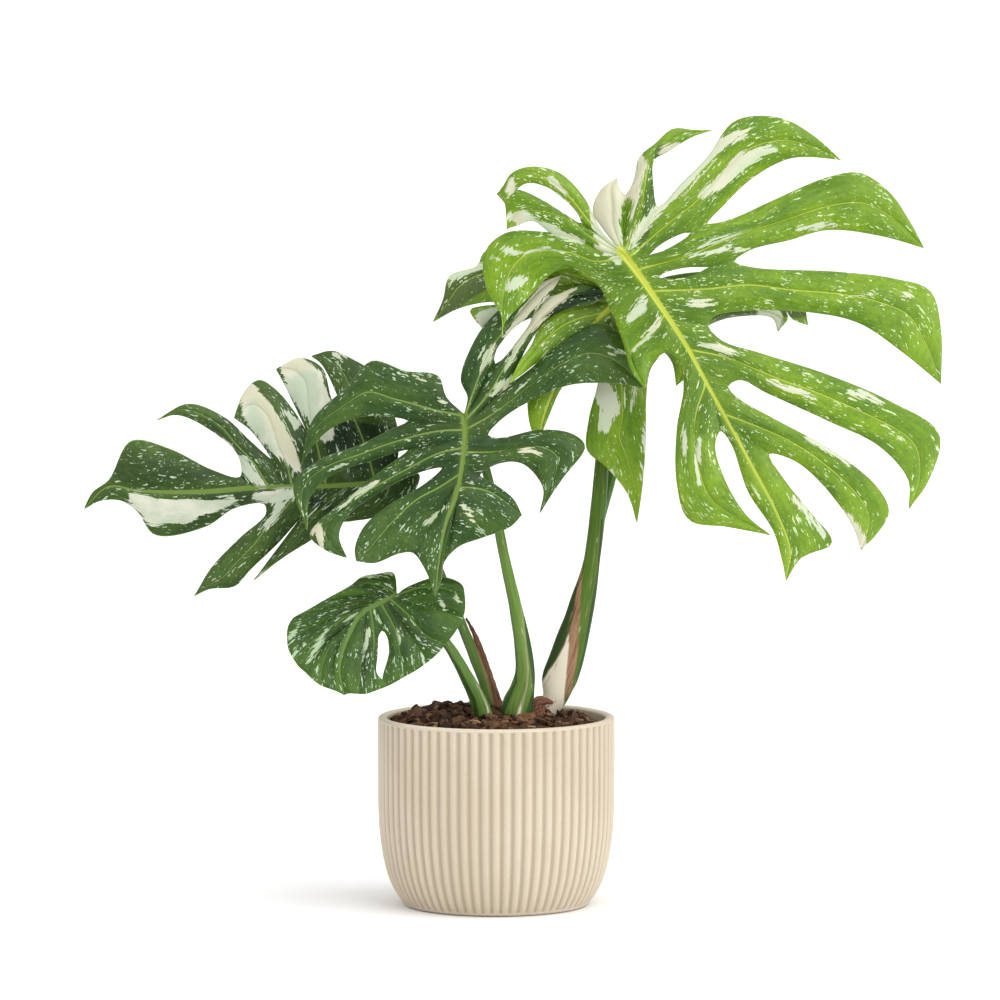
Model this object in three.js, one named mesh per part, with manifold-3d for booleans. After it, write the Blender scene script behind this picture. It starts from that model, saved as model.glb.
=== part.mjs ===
// A variegated monstera in a ribbed ceramic pot, in millimetres, +Z up.
// The origin is the centre of the pot's base, on the surface that the pot stands on; -Y faces the viewer.
import * as THREE from "three";
import { mergeVertices } from "three/addons/utils/BufferGeometryUtils.js";
import Module from "manifold-3d";

const wasm = await Module();
wasm.setup();

// ---------------------------------------------------------------- driving dimensions, mm
const POT_WIDTH = 170;
const POT_HEIGHT = 136;
const POT_BASE_RADIUS = 66;
const POT_WALL = 7;
const POT_FLOOR = 9;
const LIP_DROP = 2; // from the rim's top to the straight inner wall
const INNER_TAPER = 8; // how much narrower the inside is just above the floor's cove
const COVE_HEIGHT = 14;
const RIB_COUNT = 68;
const RIB_RELIEF = 0.9;
const RIM_BAND = 5;
const SOIL_EDGE_HEIGHT = 125;
const SOIL_MOUND = 11;
const CLEARANCE = 0.3;
const HOLE_SPARE = 2; // sight units that a stalk's hole reaches below its foot
const BLADE_THICKNESS = 0.8;
const MIDRIB_HALF_WIDTH = 2;
const STALK_SIDES = 8;
const FOOT_RADIUS = 1.8; // of a stalk where it meets its blade
const FOOT_STEPS = [8, 4, BLADE_THICKNESS / 2 + 0.7]; // how far behind the blade a stalk's last rings lie
const LOBE_ROWS = 11;
const LOBE_COLUMNS = 2;
const ROOT_GAP = 0.008; // least share of the midrib between two side veins
const CENTRING = 5; // how fast a free lobe's vein moves to its middle, per share of its length

// The leaves and stalks are laid out as they look from straight in front: a point is [across, down] in
// sight units on the view, and its depth is in millimetres. SIGHT says where that view is taken from.
const SIGHT = {
  distance: 5000, // from the pot's axis to the eye, along -Y
  height: 744, // of the eye above the surface
  side: 2.7, // of the eye, towards +X
  pitch: THREE.MathUtils.degToRad(5.175),
  focal: 7020, // sight units
  centre: 500, // of the view, both ways
};
const UNIT = 0.717; // millimetres that one sight unit spans at the pot's axis

const COLOURS = {
  ceramic: 0xd6c4a8,
  soil: 0x55371f,
  lime: 0x73a523,
  deep: 0x2d5028,
  mid: 0x3c6e2d,
  stalk: 0x5f8c3c,
  dry: 0x8a5a40,
};

// ---------------------------------------------------------------- the view

// The point of the object that is seen at [x, y] on the view and lies at the given depth.
function seenAt(x, y, depth) {
  const across = (x - SIGHT.centre) / SIGHT.focal;
  const up = (SIGHT.centre - y) / SIGHT.focal;
  const alongY = Math.cos(SIGHT.pitch) + up * Math.sin(SIGHT.pitch);
  const alongZ = up * Math.cos(SIGHT.pitch) - Math.sin(SIGHT.pitch);
  const reach = (depth + SIGHT.distance) / alongY;
  return new THREE.Vector3(SIGHT.side + reach * across, depth, SIGHT.height + reach * alongZ);
}

// A dense line through the points, smooth at each, from the point numbered first to the one numbered last.
function smoothLine(points, first = 0, last = points.length - 1) {
  if (points.length < 2) return points;
  const curve = new THREE.CatmullRomCurve3(
    points.map(([x, y]) => new THREE.Vector3(x, y, 0)),
    false,
    "centripetal",
  );
  const steps = 16 * (last - first);
  return Array.from({ length: steps + 1 }, (_, i) => {
    const at = (first + ((last - first) * i) / steps) / (points.length - 1);
    const { x, y } = curve.getPoint(at);
    return [x, y];
  });
}

const between = (a, b, share) => a.map((value, i) => value + (b[i] - value) * share);

// The point at a share of a line's length.
function pointAlong(line, share) {
  const steps = line.slice(1).map((p, i) => Math.hypot(p[0] - line[i][0], p[1] - line[i][1]));
  let left = share * steps.reduce((sum, step) => sum + step, 0);
  for (let i = 0; i < steps.length; i++) {
    if (left <= steps[i] || i === steps.length - 1)
      return between(line[i], line[i + 1], steps[i] ? Math.min(1, left / steps[i]) : 0);
    left -= steps[i];
  }
  return line[0];
}

// The share of the line's length at which it comes nearest to a point.
function nearestShare(line, point) {
  let best = 0;
  let least = Infinity;
  for (let i = 0; i <= 200; i++) {
    const [x, y] = pointAlong(line, i / 200);
    const away = Math.hypot(x - point[0], y - point[1]);
    if (away < least) [best, least] = [i / 200, away];
  }
  return best;
}

// ---------------------------------------------------------------- leaf blades

// How deep a blade lies at a point of the view: it tilts and bows along its midrib, and each half bows
// on its own away from the midrib.
function bladeDepth(leaf, x, y) {
  const end = leaf.midrib[leaf.midrib.length - 1];
  const [rootX, rootY] = leaf.midrib[0];
  const length = Math.hypot(end[0] - rootX, end[1] - rootY);
  const [dirX, dirY] = [(end[0] - rootX) / length, (end[1] - rootY) / length];
  const along = ((x - rootX) * dirX + (y - rootY) * dirY) * UNIT;
  const aside = ((x - rootX) * dirY - (y - rootY) * dirX) * UNIT;
  const half = aside > 0 ? leaf.depth.right : leaf.depth.left;
  const { root, tilt, bow } = leaf.depth;
  return root + tilt * along + bow * along ** 2 + half.tilt * Math.abs(aside) + half.bow * aside ** 2;
}

// One side of a blade, as half-lobes between a side vein and the margin. The margin is walked from the
// leaf's foot: out to a lobe's tip, back to the notch after it, and so on to the leaf's tip.
function bladeSide(leaf, lobes, sign, addPatch) {
  const rib = smoothLine(leaf.midrib);
  const tip = leaf.midrib[leaf.midrib.length - 1];
  const ribPoint = (share) => {
    const [x, y] = pointAlong(rib, share);
    const [x0, y0] = pointAlong(rib, Math.max(0, share - 0.01));
    const [x1, y1] = pointAlong(rib, Math.min(1, share + 0.01));
    const length = Math.hypot(x1 - x0, y1 - y0);
    const wide = ((sign * MIDRIB_HALF_WIDTH) / UNIT) * (1 - share) ** 0.7 * Math.min(1, 0.2 + share * 8);
    return [x + (wide * (y1 - y0)) / length, y - (wide * (x1 - x0)) / length];
  };
  const side = lobes.slice(0, -1);
  const last = lobes[lobes.length - 1];
  const roots = [];
  for (const lobe of side)
    roots.push(Math.max(nearestShare(rib, lobe.vein[0]), (roots[roots.length - 1] ?? 0) + ROOT_GAP));
  const seamRoots = roots.map((root, i) => (i + 1 < roots.length ? (root + roots[i + 1]) / 2 : root + 0.05));
  const veins = side.map((lobe, i) => smoothLine([ribPoint(roots[i]), ...lobe.vein.slice(1), lobe.tip]));
  const ends = Array.from({ length: 21 }, (_, i) =>
    ribPoint(seamRoots[side.length - 1] + ((1 - seamRoots[side.length - 1]) * i) / 20),
  );
  veins.push([...ends.slice(0, -1), tip]);

  // Seam i joins lobe i to the next one, from the midrib to the notch between them.
  const seams = side.map((lobe, i) => {
    const line = smoothLine([ribPoint(seamRoots[i]), ...(lobe.seam ?? []), lobe.notch]);
    const reach = (nearestShare(veins[i], lobe.notch) + nearestShare(veins[i + 1], lobe.notch)) / 2;
    const rows = lobe.seamRows ?? Math.min(LOBE_ROWS - 1, Math.max(1, Math.round(reach * LOBE_ROWS)));
    return { line, rows, hole: lobe.hole };
  });
  const tips = [...side.map((lobe) => lobe.tip), tip];
  // The margin from a notch (or the leaf's foot) to a tip, one line for each side of a notch.
  const outLine = (i) => {
    const out = (i < side.length ? side[i] : last).out;
    if (i === 0) return smoothLine([leaf.midrib[0], ...out, tips[0]]);
    const before = side[i - 1];
    const points = [tips[i - 1], ...before.back, before.notch, ...out, tips[i]];
    return smoothLine(points, before.back.length + 1, points.length - 1);
  };
  const backLine = (i) => {
    const after = i + 1 < side.length ? side[i + 1] : last;
    const points = [tips[i], ...side[i].back, side[i].notch, ...after.out, tips[i + 1]];
    return smoothLine(points, 0, side[i].back.length + 1).reverse();
  };

  // The edge of a half-lobe at each row: the seam first, opened into a hole where there is one, and
  // then the free margin.
  const edgeRows = (seam, margin, vein) =>
    Array.from({ length: LOBE_ROWS + 1 }, (_, row) => {
      const seamRows = seam ? seam.rows : 0;
      if (row > seamRows || (row === seamRows && !seam))
        return pointAlong(margin, (row - seamRows) / (LOBE_ROWS - seamRows));
      const share = row / seamRows;
      const [x, y] = pointAlong(seam.line, share);
      if (!seam.hole) return [x, y];
      const middle = (seam.hole.from + seam.hole.to) / 2;
      const across = Math.abs(share - middle) / ((seam.hole.to - seam.hole.from) / 2);
      if (across >= 1) return [x, y];
      const [veinX, veinY] = pointAlong(vein, row / LOBE_ROWS);
      const away = Math.hypot(veinX - x, veinY - y);
      const open = Math.min((seam.hole.half * Math.sqrt(1 - across ** 2)) / away, 0.6);
      return [x + (veinX - x) * open, y + (veinY - y) * open];
    });

  const chain = [];
  veins.forEach((vein, i) => {
    const terminal = i === side.length;
    const lobe = terminal ? last : side[i];
    const curlFrom = Math.max(i > 0 ? seams[i - 1].rows : 0, terminal ? 0 : seams[i].rows) / LOBE_ROWS;
    const extra = (row, across) => {
      const share = row / LOBE_ROWS;
      const arch = leaf.arch * Math.sin(Math.PI * Math.min(1, share + 0.08)) * across ** 2;
      return arch + (lobe.curl ?? 0) * Math.max(0, (share - curlFrom) / (1 - curlFrom)) ** 2;
    };
    const outEdge = edgeRows(i > 0 ? seams[i - 1] : null, outLine(i), vein);
    const backEdge = terminal ? null : edgeRows(seams[i], backLine(i), vein);
    // Past both of its notches the vein runs half-way between the lobe's two margins.
    const veinRows = Array.from({ length: LOBE_ROWS + 1 }, (_, row) => {
      const at = pointAlong(vein, row / LOBE_ROWS);
      const centring = Math.min(1, Math.max(0, row / LOBE_ROWS - curlFrom) * (lobe.centring ?? CENTRING));
      return terminal ? at : between(at, between(outEdge[row], backEdge[row], 0.5), centring);
    });
    const start = i > 0 ? ribPoint(seamRoots[i - 1]) : leaf.midrib[0];
    const rootRow = (a, b, steps) => Array.from({ length: steps + 1 }, (_, k) => between(a, b, k / steps));
    addPatch(veinRows, outEdge, terminal ? null : [start, ribPoint(roots[i])], -sign, extra);
    if (terminal) {
      chain.push(...veinRows);
      return;
    }
    const end = ribPoint(seamRoots[i]);
    addPatch(veinRows, backEdge, [end, ribPoint(roots[i])], sign, extra);
    chain.push(...rootRow(start, ribPoint(roots[i]), LOBE_COLUMNS).slice(0, -1));
    chain.push(...rootRow(ribPoint(roots[i]), end, LOBE_COLUMNS).slice(0, -1));
  });
  return chain;
}

// The middle surface of a blade: points on the view with their depth, and triangles.
function bladeSurface(leaf) {
  const points = [];
  const index = new Map();
  const triangles = [];
  const pointNumber = ([x, y], extra) => {
    const key = Math.round(x * 50) + "," + Math.round(y * 50);
    if (!index.has(key)) {
      index.set(key, points.length);
      points.push(seenAt(x, y, bladeDepth(leaf, x, y) + extra));
    }
    return index.get(key);
  };
  const addTriangle = (a, b, c) => {
    if (a !== b && b !== c && a !== c) triangles.push([a, b, c]);
  };
  const addPatch = (veinRows, edgeRowsOf, root, turn, extra) => {
    const grid = veinRows.map((vein, row) =>
      Array.from({ length: LOBE_COLUMNS + 1 }, (_, column) => {
        const across = column / LOBE_COLUMNS;
        const at = row || !root ? between(vein, edgeRowsOf[row], across) : between(root[1], root[0], across);
        return pointNumber(at, row ? extra(row, across) : 0);
      }),
    );
    for (let row = 0; row < LOBE_ROWS; row++)
      for (let column = 0; column < LOBE_COLUMNS; column++) {
        const [a, b] = [grid[row][column], grid[row][column + 1]];
        const [c, d] = [grid[row + 1][column + 1], grid[row + 1][column]];
        for (const [p, q, r] of [[a, b, c], [a, c, d]])
          turn > 0 ? addTriangle(p, q, r) : addTriangle(p, r, q);
      }
  };
  const right = bladeSide(leaf, leaf.right, 1, addPatch);
  const left = bladeSide(leaf, leaf.left, -1, addPatch);
  joinChains(right, left, leaf, pointNumber, addTriangle);
  return { points, triangles };
}

// The strip along the midrib that joins the two halves of a blade.
function joinChains(right, left, leaf, pointNumber, addTriangle) {
  const tip = leaf.midrib[leaf.midrib.length - 1];
  const lengthTo = (chain) => {
    let sum = 0;
    return chain.map((p, i) => (sum += i ? Math.hypot(p[0] - chain[i - 1][0], p[1] - chain[i - 1][1]) : 0));
  };
  const [rightPoints, leftPoints] = [[...right.slice(0, -1), tip], [...left.slice(0, -1), tip]];
  const [rightAt, leftAt] = [lengthTo(rightPoints), lengthTo(leftPoints)];
  const [rightEnd, leftEnd] = [rightAt[rightAt.length - 1], leftAt[leftAt.length - 1]];
  const number = (p) => pointNumber(p, 0);
  let [i, j] = [0, 0];
  while (i < rightPoints.length - 1 || j < leftPoints.length - 1) {
    const nextRight = i + 1 < rightPoints.length ? rightAt[i + 1] / rightEnd : Infinity;
    const nextLeft = j + 1 < leftPoints.length ? leftAt[j + 1] / leftEnd : Infinity;
    if (nextRight <= nextLeft) {
      addTriangle(number(rightPoints[i]), number(leftPoints[j]), number(rightPoints[i + 1]));
      i++;
    } else {
      addTriangle(number(rightPoints[i]), number(leftPoints[j]), number(leftPoints[j + 1]));
      j++;
    }
  }
}

// A blade of even thickness round its middle surface, with the same triangles on both faces.
function bladeGeometry(leaf) {
  const { points, triangles } = bladeSurface(leaf);
  const normals = points.map(() => new THREE.Vector3());
  const edges = new Map();
  for (const [a, b, c] of triangles) {
    const face = new THREE.Vector3()
      .subVectors(points[b], points[a])
      .cross(new THREE.Vector3().subVectors(points[c], points[a]));
    for (const corner of [a, b, c]) normals[corner].add(face);
    for (const [p, q] of [[a, b], [b, c], [c, a]])
      edges.delete(q + "," + p) || edges.set(p + "," + q, [p, q]);
  }
  normals.forEach((normal) => normal.normalize());
  const face = (side) =>
    points.flatMap((p, i) => p.clone().addScaledVector(normals[i], (side * BLADE_THICKNESS) / 2).toArray());
  const count = points.length;
  const indices = triangles.flatMap(([a, b, c]) => [a, b, c, a + count, c + count, b + count]);
  for (const [p, q] of edges.values()) indices.push(p, q + count, q, p, p + count, q + count);
  return solidGeometry([...face(1), ...face(-1)], indices);
}

function solidGeometry(positions, indices) {
  const geometry = new THREE.BufferGeometry();
  geometry.setAttribute("position", new THREE.Float32BufferAttribute(positions, 3));
  geometry.setIndex(indices);
  geometry.computeVertexNormals();
  return geometry;
}

// ---------------------------------------------------------------- the five leaves

// The large lime leaf at the top, its tip towards the viewer.
const TOP_LEAF = {
  name: "leaf_top",
  colour: COLOURS.lime,
  arch: 4,
  depth: {
    root: -5, tilt: -0.3, bow: -0.001,
    right: { tilt: 0.1, bow: 0.001 },
    left: { tilt: 0, bow: 0.0005 },
  },
  midrib: [[620, 250], [640, 276], [661, 307], [682, 338], [706, 382], [727, 420], [751, 465],
      [776, 512], [790, 550], [786, 581]],
  right: [
    { vein: [[622, 251], [613, 222]], tip: [617, 178], curl: 8,
      out: [[604, 230], [593, 211], [601, 190]], back: [[620, 190]], notch: [626, 195] },
    { vein: [[626, 252], [634, 225], [641, 205], [646, 178], [651, 153], [664, 141], [684, 134]],
      tip: [713, 130], curl: 10,
      out: [[634, 180], [639, 158], [655, 144], [673, 129], [692, 130]],
      back: [[690, 138], [667, 152], [654, 160], [653, 185]], notch: [658, 207] },
    { vein: [[634, 254], [673, 220], [696, 202], [735, 162], [790, 140]], tip: [841, 160], curl: -22,
      out: [[682, 183], [707, 158], [735, 121], [780, 118], [815, 137]],
      back: [[806, 157], [785, 160], [750, 180], [722, 207]], notch: [707, 224],
      seamRows: 5, hole: { from: 0.25, to: 0.75, half: 5.5 } },
    { vein: [[640, 267], [692, 254], [728, 239], [772, 224], [837, 207], [885, 216]],
      tip: [924, 248], curl: -22,
      out: [[732, 219], [772, 201], [826, 178], [860, 173], [890, 193], [910, 222]],
      back: [[880, 236], [828, 230], [790, 240], [750, 250]], notch: [734, 262],
      hole: { from: 0.16, to: 0.66, half: 5.5 } },
    { vein: [[654, 291], [707, 289], [750, 285], [793, 290], [880, 304], [922, 335]],
      tip: [941, 384], curl: -22,
      out: [[755, 268], [837, 272], [895, 279], [930, 291], [941, 330]],
      back: [[902, 352], [858, 323], [806, 312], [740, 311], [713, 317]], notch: [708, 326] },
    { vein: [[692, 350], [728, 358], [772, 376], [815, 398], [891, 430], [918, 460]],
      tip: [909, 509], curl: -22,
      out: [[722, 341], [759, 353], [828, 375], [891, 402], [939, 434], [929, 480]],
      back: [[908, 480], [880, 447], [828, 421], [767, 393], [740, 380]], notch: [728, 387] },
    { vein: [[726, 415], [761, 428], [798, 445], [837, 473], [866, 508]], tip: [861, 550], curl: -14,
      out: [[740, 400], [772, 418], [832, 451], [876, 486], [889, 512], [876, 535]],
      back: [[852, 525], [822, 484], [795, 461]], notch: [769, 454] },
    { out: [[785, 481], [810, 512], [832, 543], [801, 558]] },
  ],
  left: [
    { vein: [[618, 250], [591, 223], [569, 196], [550, 181], [530, 172], [512, 177]],
      tip: [497, 194], curl: 6,
      out: [[601, 231], [584, 198], [559, 173], [530, 167], [511, 174], [503, 187]],
      back: [], notch: [505, 204],
      seam: [[594, 232], [562, 208], [540, 193], [520, 188]], hole: { from: 0.36, to: 0.86, half: 9 } },
    { vein: [[619, 254], [597, 241], [567, 219], [540, 211], [518, 212]], tip: [507, 229], curl: -6,
      out: [[506, 215]], back: [[516, 226], [533, 221], [554, 235], [580, 242]], notch: [601, 251] },
    { vein: [[622, 261], [593, 261], [568, 252], [535, 254], [508, 285]], tip: [502, 337], curl: -16,
      out: [[580, 239], [543, 232], [506, 233], [485, 252], [486, 286], [502, 318]],
      back: [[504, 324], [530, 296], [555, 271], [572, 269], [583, 276]], notch: [598, 285],
      seam: [[620, 286]], seamRows: 3 },
    { vein: [[661, 317], [655, 328], [644, 339], [631, 353]], tip: [645, 388], curl: -6, centring: 0,
      out: [[611, 310], [624, 345], [632, 372]],
      back: [[649, 369], [658, 357], [669, 352]], notch: [680, 362], seamRows: 2 },
    { vein: [[703, 387], [696, 413], [694, 434], [698, 465], [712, 500]],
      tip: [770, 535], curl: -10, centring: 0,
      out: [[684, 386], [677, 430], [677, 484], [689, 520], [728, 527]],
      back: [[746, 515], [724, 478], [715, 445]], notch: [721, 431] },
    { out: [[732, 445], [748, 491], [774, 532], [782, 560]] },
  ],
};

// The lime leaf behind and below the top one; it hangs like an umbrella.
const BACK_LEAF = {
  name: "leaf_back",
  colour: COLOURS.lime,
  arch: 4,
  depth: {
    root: 12, tilt: -0.16, bow: 0,
    right: { tilt: 0.08, bow: 0.0011 },
    left: { tilt: 0, bow: 0.0025 },
  },
  midrib: [[640, 287], [605, 312], [578, 345], [556, 385], [544, 415], [537, 445]],
  right: [
    { vein: [[637, 288], [700, 290], [760, 293], [790, 301]], tip: [808, 325], curl: 6,
      out: [[670, 276], [730, 272], [790, 286], [804, 306]], back: [[792, 319]], notch: [786, 311],
      seam: [[690, 296], [745, 303]] },
    { vein: [[635, 290], [690, 303], [740, 309], [768, 312], [781, 320]], tip: [778, 332], curl: -4,
      out: [[788, 318]], back: [[772, 318], [740, 316], [715, 322]], notch: [700, 332] },
    { vein: [[632, 293], [655, 320], [672, 350]], tip: [676, 386],
      out: [[694, 350], [687, 376]], back: [[672, 362]], notch: [662, 352] },
    { vein: [[620, 303], [622, 350], [622, 400], [625, 450], [633, 490]], tip: [637, 523], curl: -4,
      out: [[650, 370], [646, 400], [646, 430], [643, 480]],
      back: [[627, 493], [605, 466], [587, 450], [589, 418], [598, 383]], notch: [601, 352] },
    { out: [[584, 365], [562, 387], [547, 420]] },
  ],
  left: [
    { vein: [[638, 288], [596, 282], [545, 270], [490, 272], [456, 288]], tip: [433, 322], curl: 10,
      out: [[612, 279], [560, 263], [486, 251], [477, 266], [450, 276], [443, 300]],
      back: [[460, 308], [490, 302]], notch: [506, 304], seam: [[570, 287]] },
    { vein: [[625, 298], [575, 302], [520, 311]], tip: [483, 329],
      out: [[484, 306], [470, 310], [475, 320]], back: [[505, 330], [530, 317], [556, 302]], notch: [577, 297] },
    { vein: [[602, 315], [574, 320], [550, 334], [531, 356]], tip: [509, 384], curl: -30,
      out: [[558, 305], [541, 322], [532, 344], [520, 361]], back: [[521, 375], [535, 364], [550, 358]], notch: [576, 347] },
    { out: [[552, 367], [530, 390], [529, 420]] },
  ],
};

// The dark leaf in the middle, in front of everything behind the small one.
const MIDDLE_LEAF = {
  name: "leaf_middle",
  colour: COLOURS.deep,
  arch: 4,
  depth: {
    root: -25, tilt: -0.35, bow: -0.0003,
    right: { tilt: -0.03, bow: 0.0003 },
    left: { tilt: 0.1, bow: 0.0008 },
  },
  midrib: [[464, 414], [465, 435], [463, 458], [458, 489], [447, 521], [441, 550], [435, 597]],
  right: [
    { vein: [[465, 416], [476, 385], [490, 350], [515, 318], [540, 290]], tip: [562, 275], curl: 4,
      out: [[468, 397], [461, 380], [470, 350], [489, 320],
          [530, 288]], back: [[556, 285]], notch: [549, 297],
      seam: [[486, 380], [503, 352], [525, 325]], hole: { from: 0.42, to: 0.8, half: 8 } },
    { vein: [[466, 420], [490, 392], [507, 363], [524, 338], [545, 315], [570, 298]],
      tip: [607, 294], curl: -8,
      out: [[562, 293], [582, 285]],
      back: [[592, 304], [564, 310], [545, 321], [529, 343], [519, 363]], notch: [511, 382] },
    { vein: [[465, 429], [490, 416], [515, 398], [545, 375], [580, 360], [615, 361]],
      tip: [643, 388], curl: -3,
      out: [[533, 367], [562, 342], [600, 323], [630, 345]],
      back: [[621, 384], [570, 385], [524, 404], [498, 422]], notch: [488, 435] },
    { vein: [[464, 452], [490, 452], [525, 449], [558, 462]], tip: [540, 513], curl: -8,
      out: [[500, 438], [540, 430], [572, 434], [585, 446], [562, 479]],
      back: [[543, 488], [523, 464], [500, 463]], notch: [480, 475] },
    { vein: [[459, 487], [475, 488], [492, 493]], tip: [522, 515],
      out: [[494, 484], [513, 499]], back: [[510, 527], [482, 538], [458, 547]], notch: [444, 562] },
    { out: [[441, 580]] },
  ],
  left: [
    { vein: [[464, 416], [430, 409], [400, 401], [360, 401], [325, 421], [308, 441]],
      tip: [300, 470], curl: 8,
      out: [[446, 397], [438, 376], [405, 371], [372, 361], [347, 387], [313, 420]],
      back: [[311, 448], [333, 427], [366, 416]], notch: [408, 421] },
    { vein: [[464, 430], [440, 431], [415, 436], [375, 449], [330, 466], [303, 492]],
      tip: [307, 530], curl: -6,
      out: [[390, 430], [360, 445], [320, 460], [294, 483]],
      back: [[310, 498], [330, 476], [366, 462]], notch: [408, 450] },
    { vein: [[463, 448], [440, 453], [410, 468], [370, 494], [338, 525]], tip: [347, 558], curl: -6,
      out: [[385, 468], [350, 496], [310, 535], [325, 550]],
      back: [[339, 535], [350, 513], [390, 486], [420, 472]], notch: [442, 468] },
    { vein: [[460, 475], [440, 487], [415, 501], [380, 535]], tip: [356, 561], curl: -4,
      out: [[425, 484], [388, 506], [364, 527], [355, 548]],
      back: [[375, 563], [398, 554]], notch: [413, 553] },
    { out: [[426, 571]] },
  ],
};

// The leaf at the left, lying almost level behind the middle one.
const LEFT_LEAF = {
  name: "leaf_left",
  colour: COLOURS.mid,
  arch: 4,
  depth: {
    root: 5, tilt: -0.03, bow: 0,
    right: { tilt: -0.25, bow: 0 },
    left: { tilt: 0.3, bow: 0.001 },
  },
  midrib: [[396, 479], [371, 483], [330, 486], [265, 487], [200, 492], [140, 491], [108, 487], [84, 509]],
  right: [
    { vein: [[390, 481], [386, 496], [368, 511]], tip: [344, 522],
      out: [[419, 474], [415, 490], [380, 515]], back: [], notch: [341, 511] },
    { vein: [[345, 485], [320, 510], [295, 540], [275, 561]], tip: [254, 580], curl: -4,
      out: [[316, 536], [285, 556]], back: [[275, 552]], notch: [301, 517] },
    { vein: [[300, 487], [285, 508], [258, 535], [225, 568]], tip: [194, 596], curl: -6,
      out: [[280, 541], [250, 570], [235, 586], [210, 589]],
      back: [[212, 567], [240, 538], [266, 514]], notch: [264, 504] },
    { out: [[235, 508], [205, 527], [155, 535], [138, 512], [122, 501], [100, 501]] },
  ],
  left: [
    { vein: [[375, 482], [363, 440], [345, 400], [330, 375]], tip: [311, 356],
      out: [[398, 430], [375, 375], [350, 358], [332, 351]],
      back: [[321, 364], [335, 390]], notch: [345, 420] },
    { vein: [[325, 485], [318, 450], [308, 415], [293, 390]], tip: [276, 369],
      out: [[332, 400], [322, 368], [300, 358]], back: [[286, 388]], notch: [307, 432] },
    { vein: [[292, 486], [286, 462], [273, 438], [255, 415]], tip: [234, 418],
      out: [[294, 411], [275, 389], [259, 380], [245, 391]], back: [[252, 432]], notch: [271, 459] },
    { vein: [[267, 486], [250, 458], [222, 434], [190, 410]], tip: [157, 420], curl: -6,
      out: [[250, 441], [225, 418], [188, 404]], back: [[178, 415], [212, 431],
          [238, 455]], notch: [240, 477] },
    { out: [[212, 470], [170, 449], [131, 441], [109, 480], [93, 492]] },
  ],
};

// The small heart-shaped leaf low at the front, with one long slit.
const SMALL_LEAF = {
  name: "leaf_small",
  colour: COLOURS.mid,
  arch: 2,
  depth: {
    root: -45, tilt: -0.45, bow: 0,
    right: { tilt: -0.02, bow: 0 },
    left: { tilt: 0.1, bow: 0.001 },
  },
  midrib: [[397, 594], [380, 603], [361, 614], [346, 640], [339, 668], [344, 695]],
  right: [
    { vein: [[395, 595], [420, 588], [445, 589]], tip: [465, 597],
      out: [[410, 586], [441, 577], [462, 585]], back: [[465, 608]], notch: [463, 618] },
    { vein: [[390, 598], [408, 615], [425, 635]], tip: [445, 645],
      out: [[455, 632]], back: [[438, 653]], notch: [428, 662] },
    { vein: [[381, 603], [395, 630], [400, 655]], tip: [404, 677],
      out: [[418, 669]], back: [[397, 681]], notch: [388, 686],
      seam: [[381, 628], [384, 656], [381, 677]], hole: { from: 0.3, to: 0.88, half: 7 } },
    { vein: [[370, 609], [374, 640], [371, 670]], tip: [372, 692],
      out: [[380, 689]], back: [[366, 694]], notch: [359, 694] },
    { out: [[350, 693]] },
  ],
  left: [
    { vein: [[396, 592], [384, 587], [370, 584]], tip: [352, 585], curl: 6,
      out: [[393, 573], [378, 574], [362, 577]], back: [[340, 592]], notch: [325, 600], seam: [[362, 595]] },
    { vein: [[379, 604], [350, 605], [318, 611]], tip: [293, 618],
      out: [[308, 610]], back: [[288, 627]], notch: [287, 640], seam: [[346, 613], [315, 626]] },
    { vein: [[366, 611], [342, 620], [317, 638]], tip: [294, 660],
      out: [[289, 651]], back: [[299, 667]], notch: [306, 673], seam: [[336, 634], [317, 653]] },
    { vein: [[351, 630], [331, 645], [323, 664]], tip: [320, 685],
      out: [[313, 680]], back: [[327, 688]], notch: [333, 690], seam: [[339, 643], [333, 667]] },
    { out: [[338, 692]] },
  ],
};

const LEAVES = [TOP_LEAF, BACK_LEAF, MIDDLE_LEAF, LEFT_LEAF, SMALL_LEAF];

// ---------------------------------------------------------------- stalks

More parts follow.
